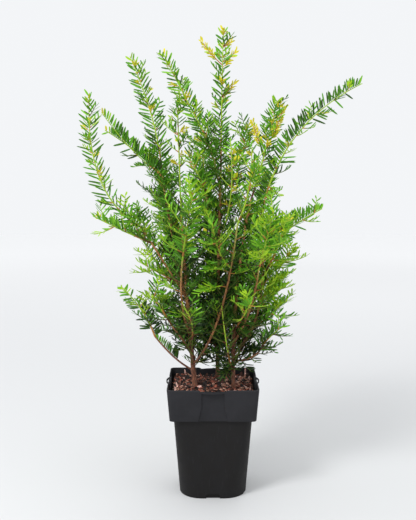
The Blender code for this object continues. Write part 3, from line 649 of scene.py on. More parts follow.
for number, (name, line) in enumerate(lines.items()):
    is_stem = name.startswith("stem")
    forks = []
    for _, carrier, fork_height, *_ in BOUGHS:
        if carrier == name:
            forks.append(line.share_at_height(fork_height / MM))

    def bark_radius(share, turn):
        along = share * line.length
        spot = Vector((math.cos(turn), math.sin(turn), 0))
        ridges = noise.noise(spot * 2.3 + Vector((0, 0, along * 55 + 9 * number)))
        flake = max(0.0, noise.noise(spot * 1.6 + Vector((5, 0, along * 130 + 9 * number))) - 0.1)
        lumps = noise.noise(Vector((along * 24, 3 * number, 0)))
        radius = line.radius(share) * (1 + 0.09 * ridges + 0.16 * flake + 0.07 * lumps)
        for fork in forks:
            past = (share - fork) * line.length / FORK_COLLAR_REACH
            radius += FORK_COLLAR * math.exp(-(past**2))
        if is_stem:
            flare = ROOT_FLARE + ROOT_RIDGES * math.cos(3 * turn + number)
            radius += flare * math.exp(-along / ROOT_FLARE_REACH)
        return radius

    steps = round(line.length / BARK_STEP)
    shares = [i / steps for i in range(steps + 1)]
    sides = STEM_SIDES if is_stem else BOUGH_SIDES
    new_piece("bark_" + name, *tube(line, shares, sides, bark_radius), bark, "bark", [name])

# The foliage: each mass grows on from a limb as one leader with side shoots turned round it, by
# the same seeded rule and the same draws as in the part's source. Twiglets then leave the side
# shoots in two ranks, and short ones stand on the leaders and on the bare limbs inside.
# A mass: its name, what carries it and how high up that (None for the tip), a point halfway along
# its leader, the leader's tip, how many side shoots it has, and how long they are. Millimetres.
MASSES = (
    ("foliage_top", "stem_back", None, (15, 6, 680), (18, 4, 802), 6, 30),
    ("foliage_top_left", "bough_top_left", None, (-43, -12, 676), (-85, -18, 758), 5, 26),
    ("foliage_crown_left", "stem_left", None, (-58, 8, 580), (-61, 12, 696), 8, 36),
    ("foliage_upper_left", "bough_upper_left", None, (-106, 36, 652), (-146, 45, 762), 6, 30),
    ("foliage_outer_left", "bough_upper_left", 548, (-132, 18, 592), (-186, 4, 630), 3, 30),
    ("foliage_far_left", "bough_far_left", None, (-190, -36, 550), (-203, -40, 692), 6, 27),
    ("foliage_left", "bough_far_left", 438, (-152, -48, 462), (-200, -54, 486), 4, 46),
    ("foliage_mid_left", "bough_far_left", 372, (-92, -18, 386), (-130, -22, 408), 5, 50),
    ("foliage_low_left", "bough_low_left", None, (-121, -30, 322), (-156, -36, 366), 5, 34),
    ("foliage_inner_left", "bough_mid_left", None, (-88, -36, 328), (-105, -42, 360), 5, 46),
    ("foliage_front_tall", "bough_front", None, (58, -72, 532), (62, -76, 600), 7, 44),
    ("foliage_inner_top", "bough_inner", None, (-26, -10, 556), (-44, -18, 590), 5, 36),
    ("foliage_thin_top", "stem_back", 440, (30, -18, 516), (29, -24, 612), 6, 34),
    ("foliage_upper_right", "stem_right", None, (94, 20, 606), (111, 28, 684), 5, 36),
    ("foliage_far_right", "bough_upper_right", None, (138, 4, 614), (257, 0, 709), 6, 27),
    ("foliage_right", "bough_upper_right", 425, (140, 2, 466), (189, -4, 496), 6, 36),
    ("foliage_mid_right", "bough_upper_right", 330, (112, 0, 384), (140, 4, 434), 6, 56),
    ("foliage_lower_right", "bough_upper_right", 285, (100, -10, 312), (134, -12, 346), 6, 56),
    ("foliage_low_right", "bough_low_right", None, (98, -34, 278), (122, -38, 298), 4, 40),
    ("foliage_front_low", "stem_right", 212, (24, -54, 262), (14, -66, 340), 7, 60),
    ("foliage_front_left", "bough_front_left", None, (-42, -112, 468), (-30, -140, 530), 7, 62),
    ("foliage_front_right", "bough_front_right", None, (82, -112, 440), (94, -140, 500), 7, 62),
    ("foliage_front", "bough_front", 400, (10, -104, 430), (-2, -142, 480), 7, 60),
    ("foliage_front_skirt_left", "stem_left", 262, (-34, -62, 296), (-40, -112, 334), 7, 56),
    ("foliage_front_skirt_right", "stem_right", 285, (48, -62, 314), (62, -112, 352), 7, 56),
    ("foliage_side_right", "bough_upper_right", 380, (108, -40, 430), (120, -66, 490), 6, 56),
    ("foliage_back_left", "bough_back_left", None, (-80, 120, 440), (-104, 142, 520), 8, 64),
    ("foliage_back_right", "bough_back_right", None, (92, 142, 470), (112, 166, 556), 8, 64),
    ("foliage_back", "bough_back", None, (-16, 132, 560), (-22, 160, 636), 7, 60),
    ("foliage_back_top", "stem_back", 470, (44, 62, 560), (66, 82, 648), 7, 60),
    ("foliage_back_upper_left", "stem_left", 400, (-76, 62, 474), (-92, 94, 560), 7, 60),
    ("foliage_side_back_left", "bough_far_left", 352, (-102, 22, 404), (-142, 50, 470), 6, 56),
    ("foliage_side_back_right", "bough_upper_right", 355, (106, 52, 410), (130, 88, 476), 6, 56),
    ("foliage_back_skirt_left", "stem_left", 238, (-72, 44, 282), (-112, 84, 330), 6, 56),
    ("foliage_back_skirt_right", "stem_right", 232, (74, 30, 278), (112, 74, 330), 6, 56),
    ("foliage_back_skirt", "stem_back", 262, (6, 92, 292), (4, 142, 340), 6, 56),
    ("foliage_heart", "stem_back", 250, (-6, 14, 310), (-14, -10, 392), 8, 68),
    ("foliage_heart_left", "stem_left", 290, (-74, -4, 316), (-98, -2, 356), 7, 60),
    ("foliage_heart_right", "stem_right", 310, (48, 26, 360), (56, 44, 430), 7, 66),
    ("foliage_heart_high", "stem_back", 360, (-14, 44, 410), (-24, 50, 486), 7, 64),
)
# Side shoots that show by themselves: the mass, how far along its leader, and the shoot's tip in
# millimetres.
MARKED_SHOOTS = (
    ("foliage_top", 0.74, (-21, 0, 780)),
    ("foliage_top", 0.86, (31, 4, 778)),
    ("foliage_top", 0.76, (40, 4, 762)),
    ("foliage_top", 0.52, (37, 4, 710)),
    ("foliage_crown_left", 0.68, (-88, 10, 645)),
    ("foliage_outer_left", 0.12, (-190, -6, 660)),
    ("foliage_left", 0.30, (-184, -40, 484)),
    ("foliage_mid_left", 0.20, (-120, -26, 392)),
    ("foliage_upper_right", 0.45, (124, 24, 672)),
    ("foliage_upper_right", 0.40, (68, 10, 646)),
    ("foliage_far_right", 0.20, (114, -8, 516)),
    ("foliage_right", 0.25, (152, 0, 492)),
    ("foliage_low_right", 0.10, (117, -40, 268)),
    ("foliage_front_low", 0.22, (20, -46, 208)),
)
# Sprays of new growth that show by themselves, pale in the shade and lime in the sun: what bears
# one, how far along that, the spray's tip in millimetres, and its brightness, which paints in its
# light and shade.
NEW_GROWTH = (
    ("bough_front", 0.76, (-15, -118, 400), 0.61),
    ("bough_front", 0.68, (-26, -112, 362), 0.61),
    ("bough_front", 0.48, (0, -70, 346), 0.60),
    ("foliage_front_skirt_left", 0.60, (-47, -112, 344), 0.61),
    ("foliage_front_skirt_right", 0.70, (26, -100, 353), 0.58),
    ("foliage_front_skirt_right", 0.85, (54, -108, 366), 0.70),
    ("foliage_mid_left", 0.35, (-86, -56, 392), 0.66),
    ("foliage_heart_left", 0.60, (-84, -56, 352), 0.64),
    ("foliage_inner_left", 0.30, (-84, -48, 312), 0.64),
    ("foliage_low_left", 0.42, (-110, -40, 330), 0.66),
    ("bough_upper_right", 0.62, (133, -14, 412), 0.66),
    ("bough_upper_right", 0.50, (139, -22, 390), 0.68),
    ("bough_upper_right", 0.44, (130, -30, 369), 0.66),
    ("foliage_lower_right", 0.50, (128, -34, 340), 0.66),
    ("foliage_side_right", 0.50, (118, -50, 448), 0.62),
    ("foliage_front_tall", 0.45, (74, -84, 572), 0.60),
    ("foliage_front", 0.50, (12, -132, 462), 0.48),
    ("bough_front", 0.86, (-18, -112, 440), 0.46),
    ("foliage_low_right", 0.20, (106, -42, 252), 0.24),
    ("foliage_low_right", 0.55, (114, -44, 284), 0.26),
    ("foliage_front_low", 0.10, (6, -58, 228), 0.14),
    ("foliage_front_low", 0.06, (36, -62, 226), 0.14),
    ("foliage_front_low", 0.12, (12, -62, 210), 0.12),
    ("foliage_front_low", 0.04, (30, -56, 212), 0.12),
    ("stem_left", 0.14, (-10, -30, 240), 0.10),
    ("stem_left", 0.16, (-6, 6, 228), 0.08),
    ("stem_back", 0.16, (-30, 20, 262), 0.10),
    ("stem_right", 0.10, (20, 4, 226), 0.08),
    ("stem_left", 0.18, (-20, 20, 250), 0.10),
    ("stem_back", 0.08, (-16, 22, 232), 0.08),
    ("stem_back", 0.12, (2, 6, 246), 0.10),
    ("stem_back", 0.10, (34, 30, 240), 0.08),
    ("stem_right", 0.12, (10, -20, 238), 0.10),
    ("stem_right", 0.16, (62, -10, 240), 0.12),
    ("bough_far_left", 0.85, (-128, -40, 506), 0.46),
    ("foliage_left", 0.20, (-144, -52, 500), 0.50),
    ("foliage_left", 0.10, (-126, -60, 488), 0.44),
    ("foliage_outer_left", 0.20, (-138, 6, 566), 0.46),
    ("foliage_upper_left", 0.12, (-118, 10, 590), 0.46),
)
SHOOT_ANGLE = math.radians(52)
LEADER_RADIUS = 0.0017
LEADER_TIP_RADIUS = 0.45 * LEADER_RADIUS
SHOOT_RADIUS = 0.0011
SHOOT_TIP_RADIUS = 0.5 * SHOOT_RADIUS
LEAST_SHOOT = 0.016
# How far a shoot's tip has bent up, and how far a marked shoot sags halfway, by its length.
RISE = 0.12
SAG = 0.06
GOLDEN_TURN = math.radians(137.5)
MASS_NAMES = [mass[0] for mass in MASSES]

leaders = {}
for name, carrier, height, middle, tip, _, _ in MASSES:
    limb = lines[carrier]
    foot = limb.at(1.0 if height is None else limb.share_at_height(height / MM))
    leaders[name] = Line(foot, metres(middle), metres(tip), LEADER_RADIUS, LEADER_TIP_RADIUS)
bearers = {**lines, **leaders}
marked = {name: [] for name in MASS_NAMES}
for name, share, tip in MARKED_SHOOTS:
    foot, tip = leaders[name].at(share), metres(tip)
    middle = (foot + tip) / 2 - SAG * (tip - foot).length * UP
    marked[name].append(Line(foot, middle, tip, SHOOT_RADIUS, SHOOT_TIP_RADIUS))

# Each mass keeps to its own space: the points that lie nearer to its lines than to any other's.
owners = []
nearest = KDTree((LINE_STEPS + 1) * (len(MASSES) + len(MARKED_SHOOTS)))
for name in MASS_NAMES:
    for line in [leaders[name], *marked[name]]:
        for i in range(LINE_STEPS + 1):
            nearest.insert(line.at(i / LINE_STEPS), len(owners))
            owners.append(name)
nearest.balance()


def belongs(point, name):
    return owners[nearest.find(point)[1]] == name


def rule_shoots(name, leader, count, reach, chance):
    """The rule: side shoots turn round the leader, and get shorter towards its tip."""
    shoots = list(marked[name])
    turn = chance.uniform(0, 2 * math.pi)
    for i in range(count):
        share = 0.10 + 0.78 * (i + chance.uniform(0.2, 0.8)) / count
        turn += GOLDEN_TURN + chance.uniform(-0.3, 0.3)
        length = reach * (1.15 - 0.6 * share) * chance.uniform(0.85, 1.1)
        side, _ = leader.across(share, turn)
        heading = math.cos(SHOOT_ANGLE) * leader.heading(share) + math.sin(SHOOT_ANGLE) * side
        foot = leader.at(share)
        while length > LEAST_SHOOT:
            tip = foot + length * heading + RISE * length * UP
            if all(belongs(foot + part * (tip - foot), name) for part in (0.5, 0.8, 1.0)):
                middle = foot + 0.5 * length * heading
                shoots.append(Line(foot, middle, tip, SHOOT_RADIUS, SHOOT_TIP_RADIUS))
                break
            length *= 0.75
    return shoots


# A shoot: its line, its kind, and how bright its foliage is, from 0 inside to 1 at the tips. The
# needles of a combed shoot all stand on its upper side, and two masses have combed side shoots and
# nothing finer. A golden mass's free shoots are yellow. A sparse mass's shoots bear no twiglets.
shoots = []
COMBED = (
    "foliage_low_left", "foliage_outer_left", "foliage_far_right", "foliage_right", "bough_low_left",
)
COMBED_THROUGHOUT = ("foliage_outer_left", "foliage_right")
GOLDEN = ("foliage_top", "foliage_upper_right")
SPARSE = (
    "foliage_left", "foliage_mid_left", "foliage_mid_right", "foliage_side_right",
    "foliage_side_back_right",
)
# The low leaders whose brightness doesn't follow from their place.
LEADER_TONES = {"foliage_right": 0.44, "foliage_low_left": 0.16, "foliage_front_low": 0.32}
TWIGLET_RADIUS = 0.0006
TWIGLET_ANGLE = math.radians(46)
TWIGLET_SPACING = 0.016
BARE_FOOT = 0.014
FINE_RADIUS = 0.8 * SHOOT_RADIUS
BUD_ANGLE = math.radians(58)
BUD_LENGTHS = (0.007, 0.016)
BUD_TONE = 0.84
# Heights: the crown's foot, the foot of its upper half, and where the free tops rise out of it.
CROWN_FOOT = 0.215
UPPER_HALF = 0.50
FREE_TOPS = 0.58
# The darkest foliage, the brightest that stands out of the painted sunlight, and the height and the
# spread of the painted sunlight on the sprays that reach out at both sides.
DARKEST = 0.06
BRIGHTEST = 0.54
SUN_HEIGHT = 0.40
SUN_SPREAD = 0.07


def ramp(value, low, high, most=1.0):
    """How far a value has come from low towards high: from 0 up to 1, or to the most given."""
    return min(most, max(0.0, (value - low) / (high - low)))


def brightness(point):
    """Foliage is nearly black low down inside the crown, from old needles and painted shade, and freshest
    high up and outside, from new growth and painted light.
    """
    height = ramp(point.z, 0.25, 0.49)
    top = ramp(point.z, UPPER_HALF, 0.62)
    outer = ramp(math.hypot(point.x, 0.75 * point.y), 0.03, 0.13, most=1.15)
    # Painted shade: the front hangs in the plant's own shade, and so does the lowest part.
    shaded = max(0.55 * ramp(-point.y, 0.0, 0.12), 0.70 * ramp(point.z, 0.36, 0.27))
    # The outer sprays are brighter from new growth and painted light, except where painted shade falls.
    edge = 0.34 * outer**1.3 * (1 - shaded)
    # Painted sunlight on the sprays that reach out at both sides halfway up. The sun reaches further in on
    # the right, and is stronger there.
    inner, strength = (0.04, 0.32) if point.x > 0 else (0.07, 0.26)
    level = (point.z - SUN_HEIGHT) / SUN_SPREAD
    sunny = strength * ramp(abs(point.x), inner, inner + 0.04) * math.exp(-(level**2))
    return min(BRIGHTEST, DARKEST + 0.30 * height + max(0.17 * top, edge)) + sunny


def branch(line, share, turn, angle, length, radius):
    """A shoot that leaves a line at an angle, turned round it, and bends up a little."""
    side, _ = line.across(share, turn)
    heading = math.cos(angle) * line.heading(share) + math.sin(angle) * side
    foot = line.at(share)
    tip = foot + length * heading + RISE * length * UP
    return Line(foot, foot + 0.5 * length * heading, tip, radius, 0.6 * radius)


def add_shoot(line, tone, chance, spacing=TWIGLET_SPACING):
    """A side shoot, and where it is long some twiglets, to its left and its right."""
    shoots.append((line, "shoot", tone))
    count = round((line.length - BARE_FOOT) / spacing) - 1
    for i in range(count):
        share = 0.20 + 0.50 * (i + chance.random()) / count
        turn = math.pi * (i % 2) + chance.uniform(-0.3, 0.3)
        length = line.length * (0.95 - share) * chance.uniform(0.45, 0.75)
        twiglet = branch(line, share, turn, TWIGLET_ANGLE, length, TWIGLET_RADIUS)
        shoots.append((twiglet, "twiglet", tone + chance.gauss(0.02, 0.04)))


def left_out(tip, chance):
    """Low down the crown opens towards both sides: whether a shoot with this tip is too many."""
    if abs(tip.x) > 0.103 and tip.z < 0.53 and chance.random() < 0.85:
        return True
    if tip.x < -0.072 and tip.z < 0.46 and chance.random() < 0.45:
        return True
    return (tip.x > 0.108 and tip.z < 0.33) or (tip.x < -0.165 and tip.z < 0.58)


def add_round(line, start, spacing, lengths, dim, chance):
    """Side shoots that turn round a line from a share of it on, between the rule's own, with
    foliage that is dimmer by dim than its place would give."""
    count = round(line.length * (1 - start) / spacing)
    for i in range(count):
        share = start + (0.96 - start) * (i + chance.uniform(0.1, 0.9)) / count
        turn = i * GOLDEN_TURN + chance.uniform(-0.5, 0.5)
        angle = SHOOT_ANGLE + chance.gauss(0, 0.22)
        shoot = branch(line, share, turn, angle, chance.uniform(*lengths), FINE_RADIUS)
        if left_out(shoot.tip, chance):
            continue
        tone = brightness(shoot.tip) - dim + chance.gauss(0, 0.18)
        add_shoot(shoot, max(tone, 0.30) if shoot.tip.z > UPPER_HALF else tone, chance)


def add_buds(line, start, spacing, chance):
    """Buds that have just opened, yellow on orange stalks, all round a leader."""
    count = round(line.length * (1 - start) / spacing)
    for i in range(count):
        share = start + (0.95 - start) * (i + chance.uniform(0.1, 0.9)) / count
        turn = i * GOLDEN_TURN + chance.uniform(-0.5, 0.5)
        bud = branch(line, share, turn, BUD_ANGLE, chance.uniform(*BUD_LENGTHS), TWIGLET_RADIUS)
        shoots.append((bud, "bud", BUD_TONE + chance.gauss(0, 0.09)))


for number, (name, _, _, _, _, count, reach) in enumerate(MASSES):
    leader = leaders[name]
    combed = name in COMBED
    free = leader.tip.z > FREE_TOPS
    finer = random.Random(500 + number)
    if free:
        aside = ramp(abs(leader.tip.x), 0.09, 0.14)
        tone = 0.45 - (0.11 if combed else 0.06) * aside + finer.gauss(0, 0.02)
    elif name in LEADER_TONES:
        tone = LEADER_TONES[name]
    else:
        tone = min(0.52, brightness(leader.at(0.6)) + 0.06)
    shoots.append((leader, "comb" if combed else "leader", tone))
    for line in rule_shoots(name, leader, count, reach / MM, random.Random(100 + number)):
        tone = brightness(line.tip) + finer.gauss(0, 0.10)
        if name in GOLDEN and line.tip.z > 0.64 and line in marked[name]:
            shoots.append((line, "bud", 0.90))
        elif name in COMBED_THROUGHOUT and line in marked[name]:
            shoots.append((line, "comb", 0.42))
        elif name in SPARSE:
            shoots.append((line, "shoot", tone))
        else:
            add_shoot(line, tone, finer)
    if name in COMBED_THROUGHOUT:
        continue
    if free:
        add_buds(leader, 0.40, 0.050 if combed else 0.018, finer)
        add_round(leader, 0.0, 0.030, (0.018, 0.030), 0.05, finer)
    else:
        if leader.tip.z > 0.42:
            add_buds(leader, 0.75, 0.022, finer)
        add_round(leader, 0.05, 0.009, (0.016, 0.046), 0.04, finer)
for number, (name, line) in enumerate(lines.items()):
    if name in COMBED:
        shoots.append((line, "comb", 0.10))
        continue
    finer = random.Random(700 + number)
    low = line.share_at_height(CROWN_FOOT + (0.03 if name == "stem_left" else 0.0))
    shoots.append((line, "bough", brightness(line.at(0.7)) - 0.06))
    if name == "bough_low_right":
        add_round(line, low, 0.0065, (0.016, 0.034), 0.12, finer)
    else:
        add_round(line, low, 0.0060, (0.026, 0.058), 0.12, finer)
chance = random.Random(800)
for name, share, tip, tone in NEW_GROWTH:
    foot, tip = bearers[name].at(share), metres(tip)
    middle = (foot + tip) / 2 + 0.08 * (tip - foot).length * UP
    add_shoot(Line(foot, middle, tip, FINE_RADIUS, 0.7 * TWIGLET_RADIUS), tone, chance, 0.007)

# The twigs: a shoot's wood is red-brown where it is old, orange where it has ripened, and green
# where it grew this year. The green is olive or lime by its foliage's brightness, which holds painted
# shade and painted light, and so is a shoot's orange or brown foot. Each colour is one joined piece
# of thin tubes.
TWIG_COLOURS = {
    "twigs_brown": (0.130, 0.055, 0.030),
    "twigs_orange": (0.44, 0.200, 0.055),
    "twigs_olive": (0.090, 0.130, 0.022),
    "twigs_lime": (0.330, 0.500, 0.040),
}
TWIG_STEP = 0.006
TWIG_SIDES = 6
LIT_WOOD = 0.45
twigs = {name: ([], []) for name in TWIG_COLOURS}


def add_twig(line, start, end, name):
    """The wood of a line between two shares of it, in one colour."""
    points, faces = twigs[name]
    count = max(1, round(line.length * (end - start) / TWIG_STEP))
    shares = [start + (end - start) * i / count for i in range(count + 1)]
    made, joined = tube(line, shares, TWIG_SIDES, lambda share, turn: line.radius(share))
    low = len(points)
    points += made
    faces += [tuple(low + corner for corner in face) for face in joined]


for line, kind, fresh_and_lit in shoots:
    # Painted light and shade: bright foliage gets lime wood, and dark foliage olive wood.
    green = "twigs_lime" if fresh_and_lit > LIT_WOOD else "twigs_olive"
    if kind == "leader":
        # Less of a leader has ripened the higher up and the further to the front it starts.
        ripe = max(0.05, min(0.45, 0.35 - (line.foot.z - 0.45) * 1.5 + 3 * line.foot.y))
        if line in (leaders["foliage_crown_left"], leaders["foliage_thin_top"]):
            ripe = 0.05
        add_twig(line, 0.0, 0.5 * ripe, "twigs_brown" if line.foot.y > -0.04 else "twigs_lime")
        add_twig(line, 0.49 * ripe, ripe, "twigs_orange")
        add_twig(line, 0.99 * ripe, 0.985, "twigs_lime")
    elif kind == "comb" and line.foot.z > 0.25:
        add_twig(line, 0.0, 0.2, "twigs_orange")
        add_twig(line, 0.2, 0.985, "twigs_lime")
    elif kind == "shoot":
        add_twig(line, 0.0, 0.25, "twigs_orange" if fresh_and_lit > LIT_WOOD else "twigs_brown")
        add_twig(line, 0.24, 0.97, green)
    elif kind == "twiglet":
        add_twig(line, 0.0, 0.95, green)
    elif kind == "bud":
        add_twig(line, 0.0, 0.9, "twigs_orange")
for name, (points, faces) in twigs.items():
    finish, shader, place = new_finish(name + "_rind", TWIG_COLOURS[name], 0.7)
    shader.inputs["Specular IOR Level"].default_value = 0.15
    relief(shader, place.grain(1500, 2), 0.0001)
    new_piece(name, points, faces, finish, "bark", MASS_NAMES)

# The needles: flat, leathery and narrow, up to 30 mm long and 3.5 mm wide, with a raised midrib and
# a short point. They part to both sides of an upright shoot, stand in two ranks on a leaning one,
# and are shortest at the growing tips. Each shade is one joined piece of plain colour, and a needle
# takes its shade from its brightness, which holds painted light and painted shade.
NEEDLE_SHADES = (
    ("needles_deep", (0.014, 0.033, 0.008)),
    ("needles_dark", (0.034, 0.090, 0.011)),
    ("needles_green", (0.068, 0.195, 0.016)),
    ("needles_grass", (0.100, 0.310, 0.016)),
    ("needles_fresh", (0.190, 0.450, 0.026)),
    ("needles_lime", (0.350, 0.570, 0.022)),
    ("needles_gold", (0.640, 0.580, 0.030)),
)
# The outline of a needle: how far along, and its share of the full width there.
NEEDLE_OUTLINE = ((0.0, 0.0), (0.10, 0.75), (0.50, 1.0), (0.86, 0.72), (1.0, 0.0))
# Its faces, by the numbers of its points, and how high its midrib stands, as a share of its width.
NEEDLE_FACES = (
    (0, 2, 1), (0, 3, 2), (1, 2, 5, 4), (2, 3, 6, 5),
    (4, 5, 8, 7), (5, 6, 9, 8), (7, 8, 10), (8, 9, 10),
)
MIDRIB = 0.16
needles = [[] for _ in NEEDLE_SHADES]
chance = random.Random(60)


def add_needle(root, heading, facing, length, width, bend, fresh_and_lit):
    """Puts down one needle, in the shade for its brightness, with its upper side facing that way."""
    shade = min(len(NEEDLE_SHADES) - 1, max(0, int(fresh_and_lit * len(NEEDLE_SHADES))))
    facing = (facing - facing.dot(heading) * heading).normalized()
    needles[shade].append((*root, *heading, *facing, length, width, bend))


# A kind of shoot: the spacing of its needles, their greatest length, their width, and where
# along the shoot the first one stands.
HABITS = {
    "bough": (0.0042, 0.0200, 0.0028, 0.30),
    "leader": (0.0028, 0.0265, 0.0035, 0.03),
    "shoot": (0.0033, 0.0240, 0.0031, 0.06),
    "twiglet": (0.0031, 0.0190, 0.0028, 0.08),
    "bud": (0.0016, 0.0110, 0.0030, 0.30),
    "comb": (0.0033, 0.0250, 0.0033, 0.02),
}
LAST_NEEDLE = 0.97
# The limbs that show as bare lines from the front: how much of each does, between two shares, half
# the width of the strip that is open before it in millimetres, and the share of the needles that
# stay there all the same.
SHOWN = (
    ("bough_front", 0.0, 1.0, 6, 0.0),
    ("foliage_front_tall", 0.0, 0.6, 4, 0.2),
    ("stem_left", 0.05, 0.55, 6, 0.15),
    ("bough_far_left", 0.0, 1.0, 5, 0.25),
    ("bough_front_left", 0.35, 1.0, 4, 0.2),
    ("stem_right", 0.05, 0.5, 4, 0.3),
    ("bough_upper_right", 0.0, 0.85, 5, 0.3),
    ("foliage_thin_top", 0.2, 0.95, 3, 0.3),
    ("foliage_inner_left", 0.0, 0.8, 3, 0.3),
    ("foliage_crown_left", 0.0, 0.7, 3, 0.2),
    ("stem_left", 0.55, 1.0, 4, 0.3),
    ("stem_back", 0.45, 1.0, 3, 0.3),
    ("bough_front_right", 0.3, 1.0, 3, 0.4),
)
SHOWN_STEPS = 40
SHOWN_HEIGHT = 0.006
shown = []
for name, start, end, strip, left in SHOWN:
    for i in range(SHOWN_STEPS + 1):
        spot = bearers[name].at(start + (end - start) * i / SHOWN_STEPS)
        shown.append((spot, strip / MM, left))


def hides_limb(point):
    """Whether a point in the open strip before a limb that shows from the front has to go."""
    for spot, strip, left in shown:
        before = point.y < spot.y and abs(point.x - spot.x) < strip
        if before and abs(point.z - spot.z) < SHOWN_HEIGHT:
            return chance.random() >= left
    return False


def clothe(line, kind, fresh_and_lit):
    """Sets the needles of one shoot: on its upper side where it is combed, else on both sides."""
    spacing, longest, width, first = HABITS[kind]
    free_leader = kind == "leader" and line.tip.z > FREE_TOPS
    if line is leaders["foliage_far_left"]:
        spacing, width = 1.45 * spacing, 0.90 * width
    if line is leaders["foliage_top"]:
        spacing, longest = 1.3 * spacing, 0.86 * longest
    if kind == "comb" and line.foot.z < 0.30:
        spacing, longest = 0.80 * spacing, 0.80 * longest
    longest *= chance.uniform(0.88, 1.08)
    count = max(5, round(line.length * (LAST_NEEDLE - first) / spacing))
    lift = chance.uniform(0.10, 0.5)
    plane = chance.gauss(0, 0.12 if kind == "leader" else 0.35)
    for i in range(count):
        share = first + (LAST_NEEDLE - first) * i / (count - 1)
        ahead = line.heading(share)
        from_tip = (1 - share) * line.length
        # The growing tip's needles are short, and lie along it.
        young = math.exp(-from_tip / 0.012)
        length = longest * (0.80 + 0.20 * math.sin(math.pi * min(1.0, 0.15 + share)))
        length *= chance.uniform(0.80, 1.08)
        if kind == "bud":
            angle = math.radians(48 - 20 * young)
        else:
            angle = math.radians((54 if free_leader else 63) - 30 * young)
            length *= 1 - 0.62 * young
        angle += chance.gauss(0, 0.13)
        hand = 1 if i % 2 else -1
        if kind == "comb":
            if line.foot.z < 0.25 and share < 0.45:
                continue
            # These needles turn up into the light, and only a few thin ones hang below.
            above = Vector((ahead.z, 0.0, -ahead.x)).normalized()
            above *= math.copysign(1, above.z)
            tufted = 0.26 < line.foot.z < 0.30 and share > 0.55
            below = chance.random() < (0.5 if tufted else 0.07)
            outward = (-above if below else above) + chance.gauss(0, 0.25) * BACK
            outward.normalize()
            facing = chance.gauss(0, 0.5) * above - BACK
        elif kind == "bud" or ahead.z > 0.85 or free_leader:
            # An upright shoot's needles part to its left and right, and some stand all round.
            across = Vector((math.cos(plane), math.sin(plane), 0))
            across = (across - across.dot(ahead) * ahead).normalized()
            over = across.cross(ahead)
            turn = chance.gauss(0, 0.4) if chance.random() < 0.85 else chance.uniform(-1.5, 1.5)
            outward = hand * math.cos(turn) * across + math.sin(turn) * over
            facing = 0.6 * ahead + over * chance.choice((-1, 1)) + chance.gauss(0, 0.4) * across
        else:
            side, over = line.across(share)
            turn = lift + 0.4 * (kind == "leader") + chance.gauss(0, 0.25)
            outward = hand * math.cos(turn) * side + math.sin(turn) * over
            facing = over + 0.4 * ahead + chance.gauss(0, 0.3) * side
        heading = math.cos(angle) * ahead + math.sin(angle) * outward
        root = line.at(share) + outward * line.radius(share) * 0.7
        bend = length * chance.uniform(-0.02, 0.20)
        # A needle's tone carries its shoot's brightness, painted light and shade included, and is paler
        # near the growing tip.
        tone = fresh_and_lit + 0.10 * math.exp(-from_tip / 0.020) + chance.gauss(0, 0.08)
        if kind in ("leader", "comb"):
            tone += (0.55 if line.tip.z > UPPER_HALF else 0.20) * young
        if kind == "comb" and line.tip.z < 0.4:
            tone += 0.30 * share**2
        if kind in ("shoot", "twiglet", "bough"):
            tone = min(tone, 0.84)
        if any(hides_limb(root + part * length * heading) for part in (0.5, 0.9)):
            continue
        add_needle(root, heading, facing, length, width * chance.uniform(0.85, 1.1), bend, tone)


shoots = [
    shoot for shoot in shoots if not any(hides_limb(shoot[0].at(share)) for share in (0.6, 0.95))
]
for line, kind, fresh_and_lit in shoots:
    clothe(line, kind, fresh_and_lit)


def needle_mesh(rows):
    """All needles of one shade at once, each as two strips that meet along its midrib."""
    rows = np.array(rows)
    root, ahead, up = rows[:, 0:3], rows[:, 3:6], rows[:, 6:9]
    length, width, bend = rows[:, 9:10], rows[:, 10:11], rows[:, 11:12]
    side = np.cross(ahead, up)
    points = []
    for share, wide in NEEDLE_OUTLINE:
        spine = root + ahead * length * share + up * bend * share**2
        if not wide:
            points.append(spine)
            continue
        for across in (-0.5, 0.0, 0.5):
            rib = 0.0 if across else MIDRIB
            points.append(spine + side * width * wide * across + up * width * wide * rib)
    points = np.stack(points, axis=1)
    needle_count, points_each, _ = points.shape
    faces = []
    for first in range(0, needle_count * points_each, points_each):
        faces += [tuple(first + corner for corner in face) for face in NEEDLE_FACES]
    return points.reshape(-1, 3).tolist(), faces


for (name, colour), rows in zip(NEEDLE_SHADES, needles):
    finish, shader, _ = new_finish(name + "_leaf", colour, 0.45)
    shader.inputs["Specular IOR Level"].default_value = 0.15
    new_piece(name, *needle_mesh(rows), finish, "needles", MASS_NAMES)

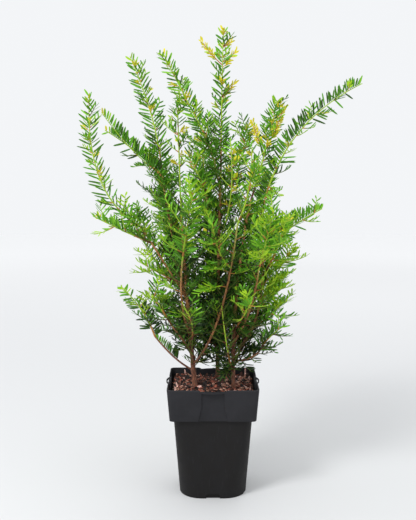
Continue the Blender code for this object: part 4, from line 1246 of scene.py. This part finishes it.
# The studio: a pale floor that gets paler far off, where it runs into a bright, even sky, a large
# soft light from the front left with two weak ones, and the camera where the photograph was taken
# from, looking a little down.
FLOOR_HALF = 6.0
FLOOR_NEAR = (0.66, 0.665, 0.67)
FLOOR_FAR = (0.985, 0.985, 0.985)
floor_mesh = bpy.data.meshes.new("studio_floor")
corners = [(-FLOOR_HALF, -FLOOR_HALF, 0), (FLOOR_HALF, -FLOOR_HALF, 0)]
corners += [(FLOOR_HALF, FLOOR_HALF, 0), (-FLOOR_HALF, FLOOR_HALF, 0)]
floor_mesh.from_pydata(corners, [], [(0, 1, 2, 3)])
floor = bpy.data.objects.new("studio_floor", floor_mesh)
bpy.context.scene.collection.objects.link(floor)
finish, shader, place = new_finish("pale_floor", (0.70, 0.70, 0.70), 0.9)
# Painted light and shade: the floor's colour is darker near the plant, where the lamps light it most, and
# paler far off, so that the lit floor looks evenly bright.
far = place.node("VectorMath", {"operation": "LENGTH"}, {0: place}, output=1).between(0.6, 4.5)
far.colours(FLOOR_NEAR, FLOOR_FAR).into(shader, "Base Color")
floor_mesh.materials.append(finish)
floor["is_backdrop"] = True

world = bpy.data.worlds.new("studio")
bpy.context.scene.world = world
world.use_nodes = True
world.node_tree.nodes["Background"].inputs["Color"].default_value = (0.90, 0.915, 0.935, 1)
world.node_tree.nodes["Background"].inputs["Strength"].default_value = 1.0
# A light: its place, its size and its power. All three look at the middle of the plant.
LIGHTS = (
    ("key", (-1.3, -1.5, 2.1), 0.7, 42),
    ("fill", (1.8, -1.1, 1.2), 1.8, 5),
    ("back", (0.4, 1.9, 1.9), 1.6, 8),
)
PLANT_MIDDLE = Vector((0, 0, 0.4))
for name, spot, size, power in LIGHTS:
    light = bpy.data.lights.new(name, "AREA")
    light.size = size
    light.energy = power
    lamp = bpy.data.objects.new(name, light)
    lamp.location = spot
    lamp.rotation_mode = "QUATERNION"
    lamp.rotation_quaternion = (PLANT_MIDDLE - Vector(spot)).to_track_quat("-Z", "Y")
    bpy.context.scene.collection.objects.link(lamp)

# Degrees below the level.
LOOKS_DOWN = 6.22
bpy.context.scene.view_settings.view_transform = "Standard"
camera = bpy.data.cameras.new("camera")
camera.lens = 52.5
camera.sensor_width = 36
camera_object = bpy.data.objects.new("camera", camera)
camera_object.location = (-0.0084, -1.309, 0.549)
camera_object.rotation_euler = (math.radians(90 - LOOKS_DOWN), 0, 0)
bpy.context.scene.collection.objects.link(camera_object)
bpy.context.scene.camera = camera_object

low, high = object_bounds()
